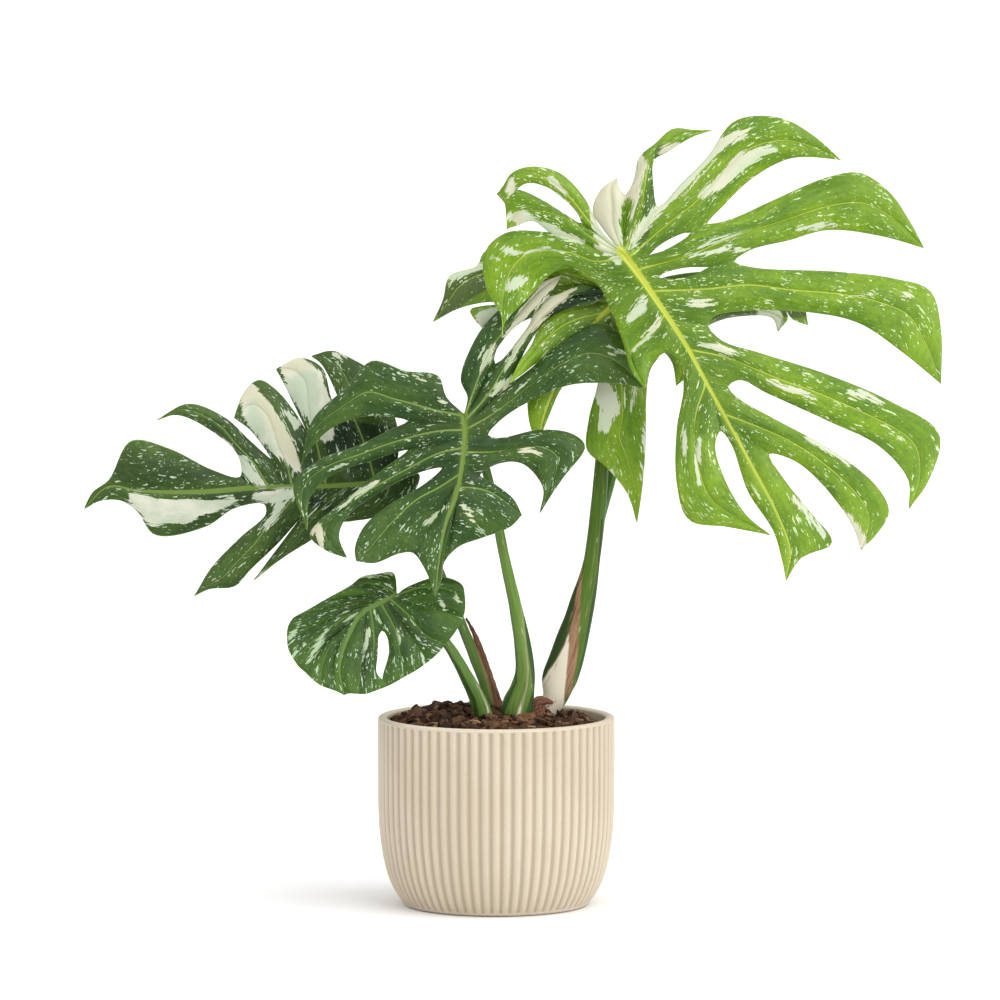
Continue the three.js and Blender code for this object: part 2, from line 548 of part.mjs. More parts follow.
// A stalk's stations from its foot in the soil up: a point of the view with its depth, and the half
// width across the view and half depth of its oval section. Each ends at its blade's foot.
const STALKS = [
  { name: "stalk_top", leaf: TOP_LEAF, colour: COLOURS.stalk, stations: [
    [545, 733, 12, 6, 5], [546, 713, 12, 7, 6], [555, 697, 12, 9, 7], [559, 680, 13, 13, 7.5],
    [566, 660, 13, 12.5, 7], [572, 640, 13, 11.6, 6.5], [578, 620, 13, 10, 6], [583, 600, 13, 9, 5.8],
    [588, 580, 13, 7.2, 5.6], [592, 560, 13, 5.8, 5.4], [598, 510, 14, 5.6, 5.2], [602, 460, 15, 5, 5],
    [607, 400, 17, 4.5, 4.5], [612, 340, 22, 4.2, 4.2], [617, 295, 28, 4, 4], [619, 268, 25, 3.6, 3.6]] },
  { name: "stalk_back", leaf: BACK_LEAF, colour: COLOURS.stalk, stations: [
    [548, 733, 29, 4.6, 4.4], [550, 713, 29, 5, 4.6], [557, 697, 29, 5, 4.6], [563, 680, 29, 5, 4.4],
    [569, 660, 28, 4.8, 4.4], [575, 640, 28, 4.6, 4.2], [581, 615, 28, 4.4, 4.2], [589, 575, 28, 4.2, 4],
    [597, 530, 29, 4, 3.8], [604, 503, 31, 3.8, 3.8], [611, 478, 32, 3.7, 3.7],
    [620, 430, 35, 3.6, 3.6], [630, 370, 38, 3.5, 3.5], [637, 320, 36, 3.4, 3.4]] },
  { name: "stalk_middle", leaf: MIDDLE_LEAF, colour: COLOURS.stalk, stations: [
    [520, 740, -8, 9, 7], [517, 718, -8, 11.5, 8], [518, 704, -8, 11.5, 8], [522, 690, -8, 9, 7.4],
    [525, 672, -9, 7, 6.5], [522, 641, -10, 5.9, 5.6], [514, 600, -11, 4.4, 4.4], [506, 565, -12, 3.8, 3.8],
    [496, 515, -12, 3.4, 3.4], [487, 474, -12, 3.3, 3.3], [476, 440, -12, 3.2, 3.2]] },
  { name: "stalk_left", leaf: LEFT_LEAF, colour: COLOURS.stalk, stations: [
    [493, 733, 14, 4.4, 4.4], [491, 710, 14, 4.6, 4.4], [487, 690, 14, 4, 4.2], [476, 660, 14, 4.2, 4],
    [463, 628, 14, 3.6, 3.6], [445, 585, 14, 3.4, 3.4], [425, 538, 19, 3.2, 3.2], [409, 508, 21, 3, 3]] },
  { name: "stalk_small", leaf: SMALL_LEAF, colour: COLOURS.stalk, stations: [
    [488, 742, -22, 6, 5], [485, 722, -22, 7, 5.6], [478, 700, -24, 6, 5.2], [465, 674, -28, 4.6, 4.3],
    [450, 648, -32, 3.6, 3.5], [432, 625, -33, 3, 3], [415, 607, -34, 2.7, 2.7]] },
];
const DRY_PIECES = [
  { name: "dry_sheath", colour: COLOURS.dry, stations: [
    [506, 733, 15, 2.3, 3], [503, 712, 15, 2.4, 3], [497, 690, 15, 2.3, 2.8], [486, 662, 15, 1.8, 2.2],
    [478, 640, 15, 1.2, 1.6], [471, 624, 15, 0.7, 0.9]] },
  { name: "dry_bract", colour: COLOURS.dry, stations: [
    [540, 730, -7, 3, 2.4], [540, 712, -7, 4.2, 3], [542, 703, -8, 4, 3], [547, 700, -9, 2.6, 2.2],
    [553, 700, -10, 0.8, 0.8]] },
];

// The way from behind a blade into its foot: straight in along the blade's own normal.
function bladeFoot(leaf) {
  const [x, y] = leaf.midrib[0];
  const [nextX, nextY] = smoothLine(leaf.midrib)[6];
  const at = (px, py) => seenAt(px, py, bladeDepth(leaf, px, py));
  const foot = at(x, y).lerp(at(nextX, nextY), 0.5);
  const alongRib = at(nextX, nextY).sub(at(x, y)).normalize();
  const [stepX, stepY] = [nextX - x, nextY - y];
  const acrossRib = at(x + stepY, y - stepX).sub(at(x - stepY, y + stepX)).normalize();
  const behind = alongRib.cross(acrossRib).normalize();
  if (behind.y < 0) behind.negate();
  return { foot, behind };
}

// A closed tube through oval sections, grown fatter all round by extra.
function stalkGeometry(stalk, extra = 0) {
  const rings = stalk.stations.map(([x, y, depth, wide, deep]) => ({ at: seenAt(x, y, depth), wide, deep }));
  if (stalk.leaf) {
    const { foot, behind } = bladeFoot(stalk.leaf);
    for (const away of FOOT_STEPS)
      rings.push({ at: foot.clone().addScaledVector(behind, away), wide: FOOT_RADIUS, deep: FOOT_RADIUS });
  }
  const line = new THREE.CatmullRomCurve3(rings.map((ring) => ring.at), false, "centripetal");
  const steps = (rings.length - 1) * 2;
  const positions = [];
  for (let i = 0; i <= steps; i++) {
    const share = i / steps;
    const at = line.getPoint(share);
    const forward = line.getTangent(share);
    if (stalk.leaf && i === steps) forward.subVectors(rings.at(-1).at, rings.at(-2).at).normalize();
    const across = new THREE.Vector3(0, -1, 0).cross(forward).normalize();
    const depthwise = new THREE.Vector3().crossVectors(forward, across);
    const [low, high] = [rings[Math.floor(i / 2)], rings[Math.ceil(i / 2)]];
    for (let k = 0; k < STALK_SIDES; k++) {
      const angle = (2 * Math.PI * k) / STALK_SIDES;
      positions.push(
        ...at.clone()
          .addScaledVector(across, Math.cos(angle) * ((low.wide + high.wide) / 2 + extra))
          .addScaledVector(depthwise, Math.sin(angle) * ((low.deep + high.deep) / 2 + extra))
          .toArray(),
      );
    }
  }
  const indices = [];
  for (let i = 0; i < steps; i++)
    for (let k = 0; k < STALK_SIDES; k++) {
      const [a, b] = [i * STALK_SIDES + k, i * STALK_SIDES + ((k + 1) % STALK_SIDES)];
      indices.push(a, b, b + STALK_SIDES, a, b + STALK_SIDES, a + STALK_SIDES);
    }
  for (let k = 1; k < STALK_SIDES - 1; k++) {
    const top = steps * STALK_SIDES;
    indices.push(0, k + 1, k, top, top + k, top + k + 1);
  }
  return solidGeometry(positions, indices);
}

// ---------------------------------------------------------------- pot and soil

const INNER_RADIUS = POT_WIDTH / 2 - POT_WALL;

// The pot's outside from the base up: the share of its height and the share of its widest radius.
const POT_PROFILE = [
  [0, POT_BASE_RADIUS / (POT_WIDTH / 2)], [0.043, 0.824], [0.105, 0.882], [0.193, 0.934], [0.34, 0.975],
  [0.6, 1], [1 - (RIM_BAND + 1) / POT_HEIGHT, 1], [1 - RIM_BAND / POT_HEIGHT, 1], [0.988, 0.996],
];

function potGeometry() {
  const turns = RIB_COUNT * 2;
  const widest = POT_WIDTH / 2;
  const rings = POT_PROFILE.map(([high, wide], i) => ({
    z: high * POT_HEIGHT,
    radius: wide * widest,
    relief: i >= POT_PROFILE.length - 2 ? 0 : RIB_RELIEF,
  }));
  rings.push({ z: POT_HEIGHT, radius: widest - POT_WALL / 2, relief: 0 });
  rings.push({ z: POT_HEIGHT - LIP_DROP, radius: INNER_RADIUS, relief: 0 });
  rings.push({ z: POT_FLOOR + COVE_HEIGHT, radius: INNER_RADIUS - INNER_TAPER, relief: 0 });
  rings.push({ z: POT_FLOOR, radius: INNER_RADIUS - INNER_TAPER - COVE_HEIGHT, relief: 0 });
  const positions = rings.flatMap(({ z, radius, relief }) =>
    Array.from({ length: turns }, (_, k) => {
      const angle = (2 * Math.PI * k) / turns;
      const out = radius - (k % 2 ? relief : 0);
      return [out * Math.cos(angle), out * Math.sin(angle), z];
    }).flat(),
  );
  const indices = [];
  for (let i = 0; i + 1 < rings.length; i++)
    for (let k = 0; k < turns; k++) {
      const [a, b] = [i * turns + k, i * turns + ((k + 1) % turns)];
      indices.push(a, b, b + turns, a, b + turns, a + turns);
    }
  const [under, inside] = [rings.length * turns, rings.length * turns + 1];
  positions.push(0, 0, 0, 0, 0, POT_FLOOR);
  const top = (rings.length - 1) * turns;
  for (let k = 0; k < turns; k++) {
    const next = (k + 1) % turns;
    indices.push(under, next, k, inside, top + k, top + next);
  }
  return solidGeometry(positions, indices);
}

// The height of the soil: a low mound at the crown, with a gentle roughness in place of the chunks.
function soilHeight(x, y) {
  const reach = Math.hypot(x + 6, y - 4) / INNER_RADIUS;
  const rough = 1.6 * Math.sin(x * 0.31 + 1) * Math.cos(y * 0.37) + 1.1 * Math.sin(x * 0.13 - y * 0.19);
  return SOIL_EDGE_HEIGHT + SOIL_MOUND * Math.max(0, 1 - reach ** 2) + rough * Math.max(0, 1 - reach ** 4);
}

function soilSolid() {
  const [turns, circles] = [32, 6];
  const wallTop = POT_HEIGHT - LIP_DROP;
  const wallSlope = INNER_TAPER / (wallTop - POT_FLOOR - COVE_HEIGHT);
  const radiusAt = (z) => INNER_RADIUS - 2 * CLEARANCE - Math.max(0, (wallTop - z) * wallSlope);
  const bottom = POT_FLOOR + COVE_HEIGHT + 1;
  const positions = [0, 0, soilHeight(0, 0), 0, 0, bottom];
  for (let ring = 1; ring <= circles + 1; ring++)
    for (let k = 0; k < turns; k++) {
      const angle = (2 * Math.PI * k) / turns;
      const lower = ring > circles;
      const radius = lower ? radiusAt(bottom) : (radiusAt(SOIL_EDGE_HEIGHT) * ring) / circles;
      const [x, y] = [radius * Math.cos(angle), radius * Math.sin(angle)];
      positions.push(x, y, lower ? bottom : soilHeight(x, y));
    }
  const at = (ring, k) => 2 + (ring - 1) * turns + (k % turns);
  const indices = [];
  const addQuad = (a, b, c, d) => indices.push(a, b, c, a, c, d);
  for (let k = 0; k < turns; k++) {
    indices.push(0, at(1, k), at(1, k + 1), 1, at(circles + 1, k + 1), at(circles + 1, k));
    for (let ring = 1; ring <= circles; ring++)
      addQuad(at(ring, k), at(ring + 1, k), at(ring + 1, k + 1), at(ring, k + 1));
  }
  return toManifold(solidGeometry(positions, indices));
}

function toManifold(geometry) {
  const bare = geometry.clone();
  bare.deleteAttribute("normal");
  const merged = mergeVertices(bare, 1e-4);
  const vertProperties = new Float32Array(merged.attributes.position.array);
  const triVerts = new Uint32Array(merged.index.array);
  return new wasm.Manifold(new wasm.Mesh({ numProp: 3, vertProperties, triVerts }));
}

// The soil with a plain hole for each stalk.
function soilGeometry() {
  let soil = soilSolid();
  for (const piece of [...STALKS, ...DRY_PIECES]) {
    const [[x, y, ...foot], ...above] = piece.stations;
    const stem = { leaf: null, stations: [[x, y + HOLE_SPARE, ...foot], ...above] };
    soil = soil.subtract(toManifold(stalkGeometry(stem, 2 * CLEARANCE)));
  }
  const mesh = soil.getMesh();
  return solidGeometry([...mesh.vertProperties], [...mesh.triVerts]);
}

// ---------------------------------------------------------------- the plant

const plant = new THREE.Group();

function addPiece(name, geometry, color, roughness) {
  const material = new THREE.MeshStandardMaterial({ color, roughness, metalness: 0 });
  const mesh = new THREE.Mesh(geometry, material);
  mesh.name = name;
  plant.add(mesh);
}

addPiece("pot", potGeometry(), COLOURS.ceramic, 0.6);
addPiece("soil", soilGeometry(), COLOURS.soil, 0.95);
for (const stalk of [...STALKS, ...DRY_PIECES]) addPiece(stalk.name, stalkGeometry(stalk), stalk.colour, 0.5);
for (const leaf of LEAVES) addPiece(leaf.name, bladeGeometry(leaf), leaf.colour, 0.4);

export default plant;
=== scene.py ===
"""Looks of a variegated monstera in a ribbed ceramic pot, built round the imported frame.

Leaves, stalks and dry husks are laid out as they look from straight in front, in sight units with a
depth in millimetres, as the solids are. Sight turns such points into places in the frame, in metres.
"""

import logging
import math
from dataclasses import dataclass, field, replace
from enum import Enum
from typing import Callable

import bpy
import numpy as np
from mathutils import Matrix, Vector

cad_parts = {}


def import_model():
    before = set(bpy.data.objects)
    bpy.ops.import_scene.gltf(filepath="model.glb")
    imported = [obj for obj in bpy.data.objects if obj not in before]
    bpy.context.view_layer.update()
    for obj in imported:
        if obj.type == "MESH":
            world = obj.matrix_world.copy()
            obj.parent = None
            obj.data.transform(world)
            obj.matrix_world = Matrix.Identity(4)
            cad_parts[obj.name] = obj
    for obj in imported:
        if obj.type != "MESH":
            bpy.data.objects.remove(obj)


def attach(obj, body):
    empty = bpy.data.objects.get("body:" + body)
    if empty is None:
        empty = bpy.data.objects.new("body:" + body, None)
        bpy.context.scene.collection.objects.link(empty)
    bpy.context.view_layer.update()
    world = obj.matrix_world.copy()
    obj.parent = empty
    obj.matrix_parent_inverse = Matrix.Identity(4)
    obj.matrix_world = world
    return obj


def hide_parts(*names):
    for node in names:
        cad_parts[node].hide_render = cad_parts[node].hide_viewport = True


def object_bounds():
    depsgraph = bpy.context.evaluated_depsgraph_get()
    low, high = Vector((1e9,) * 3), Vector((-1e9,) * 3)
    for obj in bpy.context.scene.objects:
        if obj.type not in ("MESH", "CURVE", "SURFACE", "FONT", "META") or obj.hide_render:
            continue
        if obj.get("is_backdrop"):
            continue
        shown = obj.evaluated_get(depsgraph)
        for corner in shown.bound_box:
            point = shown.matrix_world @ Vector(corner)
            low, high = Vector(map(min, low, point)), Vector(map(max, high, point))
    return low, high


log = logging.getLogger("monstera")

Array = np.ndarray
Point = tuple[float, float]
Line = list[Point]
Colour = tuple[float, float, float]
Tint = Colour | bpy.types.NodeSocket
Spot = bpy.types.NodeSocket | tuple

MM = 0.001
SEED = 11

LOBE_ROWS = 52  # rows of a half-lobe, from the midrib to its tip
LOBE_COLUMNS = 14  # columns of a half-lobe, from its vein to its edge
CENTRING = 5.0  # how fast a free lobe's vein moves to its middle, per share of its length
ROOT_GAP = 0.008  # least share of the midrib between two side veins
MIDRIB_HALF_WIDTH = 2.0  # mm
MERGE = 50.0  # points of a blade that round to the same 1 / MERGE of a sight unit are one

CAD_ROWS = 11  # rows of a half-lobe in the solids, which say how many rows a seam takes
RIB_END_STEPS = 60  # points along the midrib beyond the last side vein, where it leads the end lobe
RIB_STEP = 0.01  # the share of the midrib to each side of a point that gives its direction there
RIB_STEPS = 140  # points along the midrib's centre
RIB_SAMPLES = 500  # points along it to measure from
RIB_REACH = 20.0  # mm from the midrib that are measured
FLOW_SCALE = 100.0  # mm that one unit of the map "flow" spans
LEFT_LOBES = 40  # the number of the left half's first lobe
RIB_LOBE = 99.0  # the number that stands for the midrib
LEAF_REACH = 10.0  # sight units inside a stroke on a leaf that count as 1
STALK_REACH = 4.0  # and on a stalk


# ---------------------------------------------------------------- the view and its lines


@dataclass(frozen=True)
class Sight:
    """Where the front view is taken from: lengths in mm, the focal length and centre in sight units."""

    distance: float = 5000.0
    height: float = 744.0
    side: float = 2.7
    pitch: float = math.radians(5.175)
    focal: float = 7020.0
    centre: float = 500.0
    unit: float = 0.717  # mm that one sight unit spans at the pot's axis

    def seen_at(self, xy: Array, depth: Array) -> Array:
        """The points seen at xy that lie at the given depths, along the eye's rays.

        Args:
            xy: (..., 2) points on the view, in sight units.
            depth: (...) depths along Y, in mm.

        Returns:
            (..., 3) points in metres.
        """
        across = (xy[..., 0] - self.centre) / self.focal
        up = (self.centre - xy[..., 1]) / self.focal
        along_y = math.cos(self.pitch) + up * math.sin(self.pitch)
        along_z = up * math.cos(self.pitch) - math.sin(self.pitch)
        reach = (depth + self.distance) / along_y
        return np.stack([self.side + reach * across, depth, self.height + reach * along_z], axis=-1) * MM

    def view_of(self, points: Array) -> Array:
        """Where (..., 3) points in metres are seen on the view, as (..., 2) sight units."""
        off = points / MM - np.array([self.side, -self.distance, self.height])
        ahead = off[..., 1] * math.cos(self.pitch) - off[..., 2] * math.sin(self.pitch)
        up = off[..., 1] * math.sin(self.pitch) + off[..., 2] * math.cos(self.pitch)
        shown = np.stack([off[..., 0], -up], axis=-1) * (self.focal / ahead)[..., None]
        return self.centre + shown


SIGHT = Sight()


def smooth_line(points: Line | Array, first: int = 0, last: int | None = None, steps: int = 24) -> Array:
    """A dense centripetal Catmull-Rom line through points.

    Each span is the cubic whose end tangents weigh the neighbouring chords by the root of their length.

    Args:
        points: The points to pass through.
        first: The number of the point where the line starts.
        last: The number of the point where it ends.
        steps: Steps in each span.

    Returns:
        steps * spans + 1 points.
    """
    p = np.asarray(points, float)
    last = len(p) - 1 if last is None else last
    if len(p) < 2:
        return p
    padded = np.vstack([2 * p[0] - p[1], p, 2 * p[-1] - p[-2]])
    gaps = np.sqrt(np.maximum(np.linalg.norm(np.diff(padded, axis=0), axis=1), 1e-4))
    spans = np.arange(first, last)
    p0, p1, p2, p3 = (padded[spans + k][:, None] for k in range(4))
    d0, d1, d2 = (gaps[spans + k][:, None, None] for k in range(3))
    t1 = ((p1 - p0) / d0 - (p2 - p0) / (d0 + d1) + (p2 - p1) / d1) * d1
    t2 = ((p2 - p1) / d1 - (p3 - p1) / (d1 + d2) + (p3 - p2) / d2) * d1
    t = (np.arange(steps) / steps)[None, :, None]
    line = p1 + t1 * t + (3 * (p2 - p1) - 2 * t1 - t2) * t**2 + (2 * (p1 - p2) + t1 + t2) * t**3
    return np.vstack([line.reshape(-1, p.shape[1]), p[last]])


def run_length(line: Array) -> Array:
    """The length walked along a line at each of its points."""
    return np.concatenate([[0.0], np.cumsum(np.linalg.norm(np.diff(line, axis=0), axis=1))])


def point_along(line: Array, share: Array | float) -> Array:
    """The points at given shares of a line's length."""
    run = run_length(line)
    at = np.clip(share, 0, 1) * run[-1]
    return np.stack([np.interp(at, run, line[:, k]) for k in range(line.shape[1])], axis=-1)


def nearest_share(line: Array, point: Point) -> float:
    """The share of a line's length at which it comes nearest to a point."""
    shares = np.linspace(0, 1, 201)
    return float(shares[np.argmin(np.linalg.norm(point_along(line, shares) - point, axis=1))])


def smooth_step(low: float, high: float, value: Array) -> Array:
    """0 below low, 1 above high, and a smooth cubic rise between them."""
    t = np.clip((value - low) / (high - low), 0, 1)
    return t * t * (3 - 2 * t)


# ---------------------------------------------------------------- leaf shapes


@dataclass(frozen=True)
class Hole:
    """A slit that opens in a seam: the shares of the seam where it starts and ends, and its half width."""

    start: float
    end: float
    half: float


@dataclass(frozen=True)
class Lobe:
    """One lobe: its side vein, and its margin out to its tip and back to the notch after it.

    Attributes:
        vein: The side vein from the midrib.
        tip: The lobe's tip.
        out: Margin points on the way to the tip.
        back: Margin points on the way back from it.
        notch: Where the lobe parts from the next one.
        seam: Points between the midrib and the notch that part this lobe from the next.
        curl: How far the free end bends away from the viewer, in mm.
        seam_share: The share of the rows that the seam takes; worked out if left at 0.
        hole: A slit in the seam.
        centring: How fast the free lobe's vein moves to its middle.
    """

    vein: Line
    tip: Point
    out: Line
    back: Line
    notch: Point
    seam: Line = field(default_factory=list)
    curl: float = 0.0
    seam_share: float = 0.0
    hole: Hole | None = None
    centring: float = CENTRING


@dataclass(frozen=True)
class Half:
    """One half of a blade: how it tilts and bows away from the midrib, its lobes, and the tip's margin."""

    tilt: float
    bow: float
    end: Line
    lobes: list[Lobe]


@dataclass(frozen=True)
class LeafShape:
    """A leaf blade as seen from in front, with its depth in mm."""

    node: str
    arch: float
    root: float
    tilt: float
    bow: float
    midrib: Line
    right: Half
    left: Half

    def depth(self, xy: Array) -> Array:
        """The blade's depth: root + tilt and bow along the midrib + each half's tilt and bow beside it.

        Args:
            xy: (..., 2) points on the view.

        Returns:
            (...) depths in mm.
        """
        foot, tip = np.array(self.midrib[0]), np.array(self.midrib[-1])
        way = (tip - foot) / np.linalg.norm(tip - foot)
        off = (xy - foot) * SIGHT.unit
        along = off @ way
        aside = off[..., 0] * way[1] - off[..., 1] * way[0]
        tilt = np.where(aside > 0, self.right.tilt, self.left.tilt)
        bow = np.where(aside > 0, self.right.bow, self.left.bow)
        return self.root + self.tilt * along + self.bow * along**2 + tilt * np.abs(aside) + bow * aside**2


TOP_LEAF = LeafShape(
    "leaf_top", arch=4, root=-5, tilt=-0.3, bow=-0.001,
    midrib=[(620, 250), (640, 276), (661, 307), (682, 338), (706, 382), (727, 420), (751, 465),
            (776, 512), (790, 550), (786, 581)],
    right=Half(tilt=0.1, bow=0.001, end=[(785, 481), (810, 512), (832, 543), (801, 558)], lobes=[
        Lobe(vein=[(622, 251), (613, 222)], tip=(617, 178), out=[(604, 230), (593, 211), (601, 190)],
             back=[(620, 190)], notch=(626, 195), curl=8),
        Lobe(vein=[(626, 252), (634, 225), (641, 205), (646, 178), (651, 153), (664, 141), (684, 134)],
             tip=(713, 130), out=[(634, 180), (639, 158), (655, 144), (673, 129), (692, 130)],
             back=[(690, 138), (667, 152), (654, 160), (653, 185)], notch=(658, 207), curl=10),
        Lobe(vein=[(634, 254), (673, 220), (696, 202), (735, 162), (790, 140)], tip=(841, 160),
             out=[(682, 183), (707, 158), (735, 121), (780, 118), (815, 137)], back=[(806, 157),
             (785, 160), (750, 180), (722, 207)], notch=(707, 224), curl=-22, seam_share=0.45,
             hole=Hole(0.25, 0.75, 5.5)),
        Lobe(vein=[(640, 267), (692, 254), (728, 239), (772, 224), (837, 207), (885, 216)],
             tip=(924, 248), out=[(732, 219), (772, 201), (826, 178), (860, 173), (890, 193),
             (910, 222)], back=[(880, 236), (828, 230), (790, 240), (750, 250)], notch=(734, 262),
             curl=-22, hole=Hole(0.16, 0.66, 5.5)),
        Lobe(vein=[(654, 291), (707, 289), (750, 285), (793, 290), (880, 304), (922, 335)],
             tip=(941, 384), out=[(755, 268), (837, 272), (895, 279), (930, 291), (941, 330)],
             back=[(902, 352), (858, 323), (806, 312), (740, 311), (713, 317)], notch=(708, 326),
             curl=-22),
        Lobe(vein=[(692, 350), (728, 358), (772, 376), (815, 398), (891, 430), (918, 460)],
             tip=(909, 509), out=[(722, 341), (759, 353), (828, 375), (891, 402), (939, 434),
             (929, 480)], back=[(908, 480), (880, 447), (828, 421), (767, 393), (740, 380)],
             notch=(728, 387), curl=-22),
        Lobe(vein=[(726, 415), (761, 428), (798, 445), (837, 473), (866, 508)], tip=(861, 550),
             out=[(740, 400), (772, 418), (832, 451), (876, 486), (889, 512), (876, 535)],
             back=[(852, 525), (822, 484), (795, 461)], notch=(769, 454), curl=-14),
    ]),
    left=Half(tilt=0, bow=0.0005, end=[(732, 445), (748, 491), (774, 532), (782, 560)], lobes=[
        Lobe(vein=[(618, 250), (591, 223), (569, 196), (550, 181), (530, 172), (512, 177)],
             tip=(497, 194), out=[(601, 231), (584, 198), (559, 173), (530, 167), (511, 174),
             (503, 187)], back=[], notch=(505, 204), curl=6, seam=[(594, 232), (562, 208), (540, 193),
             (520, 188)], hole=Hole(0.36, 0.86, 9)),
        Lobe(vein=[(619, 254), (597, 241), (567, 219), (540, 211), (518, 212)], tip=(507, 229),
             out=[(506, 215)], back=[(516, 226), (533, 221), (554, 235), (580, 242)], notch=(601, 251),
             curl=-6),
        Lobe(vein=[(622, 261), (593, 261), (568, 252), (535, 254), (508, 285)], tip=(502, 337),
             out=[(580, 239), (543, 232), (506, 233), (485, 252), (486, 286), (502, 318)],
             back=[(504, 324), (530, 296), (555, 271), (572, 269), (583, 276)], notch=(598, 285),
             curl=-16, seam=[(620, 286)], seam_share=0.27),
        Lobe(vein=[(661, 317), (655, 328), (644, 339), (631, 353)], tip=(645, 388), out=[(611, 310),
             (624, 345), (632, 372)], back=[(649, 369), (658, 357), (669, 352)], notch=(680, 362),
             curl=-6, seam_share=0.18, centring=0),
        Lobe(vein=[(703, 387), (696, 413), (694, 434), (698, 465), (712, 500)], tip=(770, 535),
             out=[(684, 386), (677, 430), (677, 484), (689, 520), (728, 527)], back=[(746, 515),
             (724, 478), (715, 445)], notch=(721, 431), curl=-10, centring=0),
    ]),
)

BACK_LEAF = LeafShape(
    "leaf_back", arch=4, root=12, tilt=-0.16, bow=0,
    midrib=[(640, 287), (605, 312), (578, 345), (556, 385), (544, 415), (537, 445)],
    right=Half(tilt=0.08, bow=0.0011, end=[(584, 365), (562, 387), (547, 420)], lobes=[
        Lobe(vein=[(637, 288), (700, 290), (760, 293), (790, 301)], tip=(808, 325), out=[(670, 276),
             (730, 272), (790, 286), (804, 306)], back=[(792, 319)], notch=(786, 311), curl=6,
             seam=[(690, 296), (745, 303)]),
        Lobe(vein=[(635, 290), (690, 303), (740, 309), (768, 312), (781, 320)], tip=(778, 332),
             out=[(788, 318)], back=[(772, 318), (740, 316), (715, 322)], notch=(700, 332), curl=-4),
        Lobe(vein=[(632, 293), (655, 320), (672, 350)], tip=(676, 386), out=[(694, 350), (687, 376)],
             back=[(672, 362)], notch=(662, 352)),
        Lobe(vein=[(620, 303), (622, 350), (622, 400), (625, 450), (633, 490)], tip=(637, 523),
             out=[(650, 370), (646, 400), (646, 430), (643, 480)], back=[(627, 493), (605, 466),
             (587, 450), (589, 418), (598, 383)], notch=(601, 352), curl=-4),
    ]),
    left=Half(tilt=0, bow=0.0025, end=[(552, 367), (530, 390), (529, 420)], lobes=[
        Lobe(vein=[(638, 288), (596, 282), (545, 270), (490, 272), (456, 288)], tip=(433, 322),
             out=[(612, 279), (560, 263), (486, 251), (477, 266), (450, 276), (443, 300)],
             back=[(460, 308), (490, 302)], notch=(506, 304), curl=10, seam=[(570, 287)]),
        Lobe(vein=[(625, 298), (575, 302), (520, 311)], tip=(483, 329), out=[(484, 306), (470, 310),
             (475, 320)], back=[(505, 330), (530, 317), (556, 302)], notch=(577, 297)),
        Lobe(vein=[(602, 315), (574, 320), (550, 334), (531, 356)], tip=(509, 384), out=[(558, 305),
             (541, 322), (532, 344), (520, 361)], back=[(521, 375), (535, 364), (550, 358)],
             notch=(576, 347), curl=-30),
    ]),
)

MIDDLE_LEAF = LeafShape(
    "leaf_middle", arch=4, root=-25, tilt=-0.35, bow=-0.0003,
    midrib=[(464, 414), (465, 435), (463, 458), (458, 489), (447, 521), (441, 550), (435, 597)],
    right=Half(tilt=-0.03, bow=0.0003, end=[(441, 580)], lobes=[
        Lobe(vein=[(465, 416), (476, 385), (490, 350), (515, 318), (540, 290)], tip=(562, 275),
             out=[(468, 397), (461, 380), (470, 350), (489, 320), (530, 288)], back=[(556, 285)],
             notch=(549, 297), curl=4, seam=[(486, 380), (503, 352), (525, 325)],
             hole=Hole(0.42, 0.8, 8)),
        Lobe(vein=[(466, 420), (490, 392), (507, 363), (524, 338), (545, 315), (570, 298)],
             tip=(607, 294), out=[(562, 293), (582, 285)], back=[(592, 304), (564, 310), (545, 321),
             (529, 343), (519, 363)], notch=(511, 382), curl=-8),
        Lobe(vein=[(465, 429), (490, 416), (515, 398), (545, 375), (580, 360), (615, 361)],
             tip=(643, 388), out=[(533, 367), (562, 342), (600, 323), (630, 345)], back=[(621, 384),
             (570, 385), (524, 404), (498, 422)], notch=(488, 435), curl=-3),
        Lobe(vein=[(464, 452), (490, 452), (525, 449), (558, 462)], tip=(540, 513), out=[(500, 438),
             (540, 430), (572, 434), (585, 446), (562, 479)], back=[(543, 488), (523, 464), (500, 463)],
             notch=(480, 475), curl=-8),
        Lobe(vein=[(459, 487), (475, 488), (492, 493)], tip=(522, 515), out=[(494, 484), (513, 499)],
             back=[(510, 527), (482, 538), (458, 547)], notch=(444, 562), centring=0),
    ]),
    left=Half(tilt=0.1, bow=0.0008, end=[(426, 571)], lobes=[
        Lobe(vein=[(464, 416), (430, 409), (400, 401), (360, 401), (325, 421), (308, 441)],
             tip=(300, 470), out=[(446, 397), (438, 376), (405, 371), (372, 361), (347, 387),
             (313, 420)], back=[(311, 448), (333, 427), (366, 416)], notch=(408, 421), curl=8),
        Lobe(vein=[(464, 430), (440, 431), (415, 436), (375, 449), (330, 466), (303, 492)],
             tip=(307, 530), out=[(390, 430), (360, 445), (320, 460), (294, 483)], back=[(310, 498),
             (330, 476), (366, 462)], notch=(408, 450), curl=-6),
        Lobe(vein=[(463, 448), (440, 453), (410, 468), (370, 494), (338, 525)], tip=(347, 558),
             out=[(385, 468), (350, 496), (310, 535), (325, 550)], back=[(339, 535), (350, 513),
             (390, 486), (420, 472)], notch=(442, 468), curl=-6),
        Lobe(vein=[(460, 475), (440, 487), (415, 501), (380, 535)], tip=(356, 561), out=[(425, 484),
             (388, 506), (364, 527), (355, 548)], back=[(375, 563), (398, 554)], notch=(413, 553),
             curl=-4),
    ]),
)

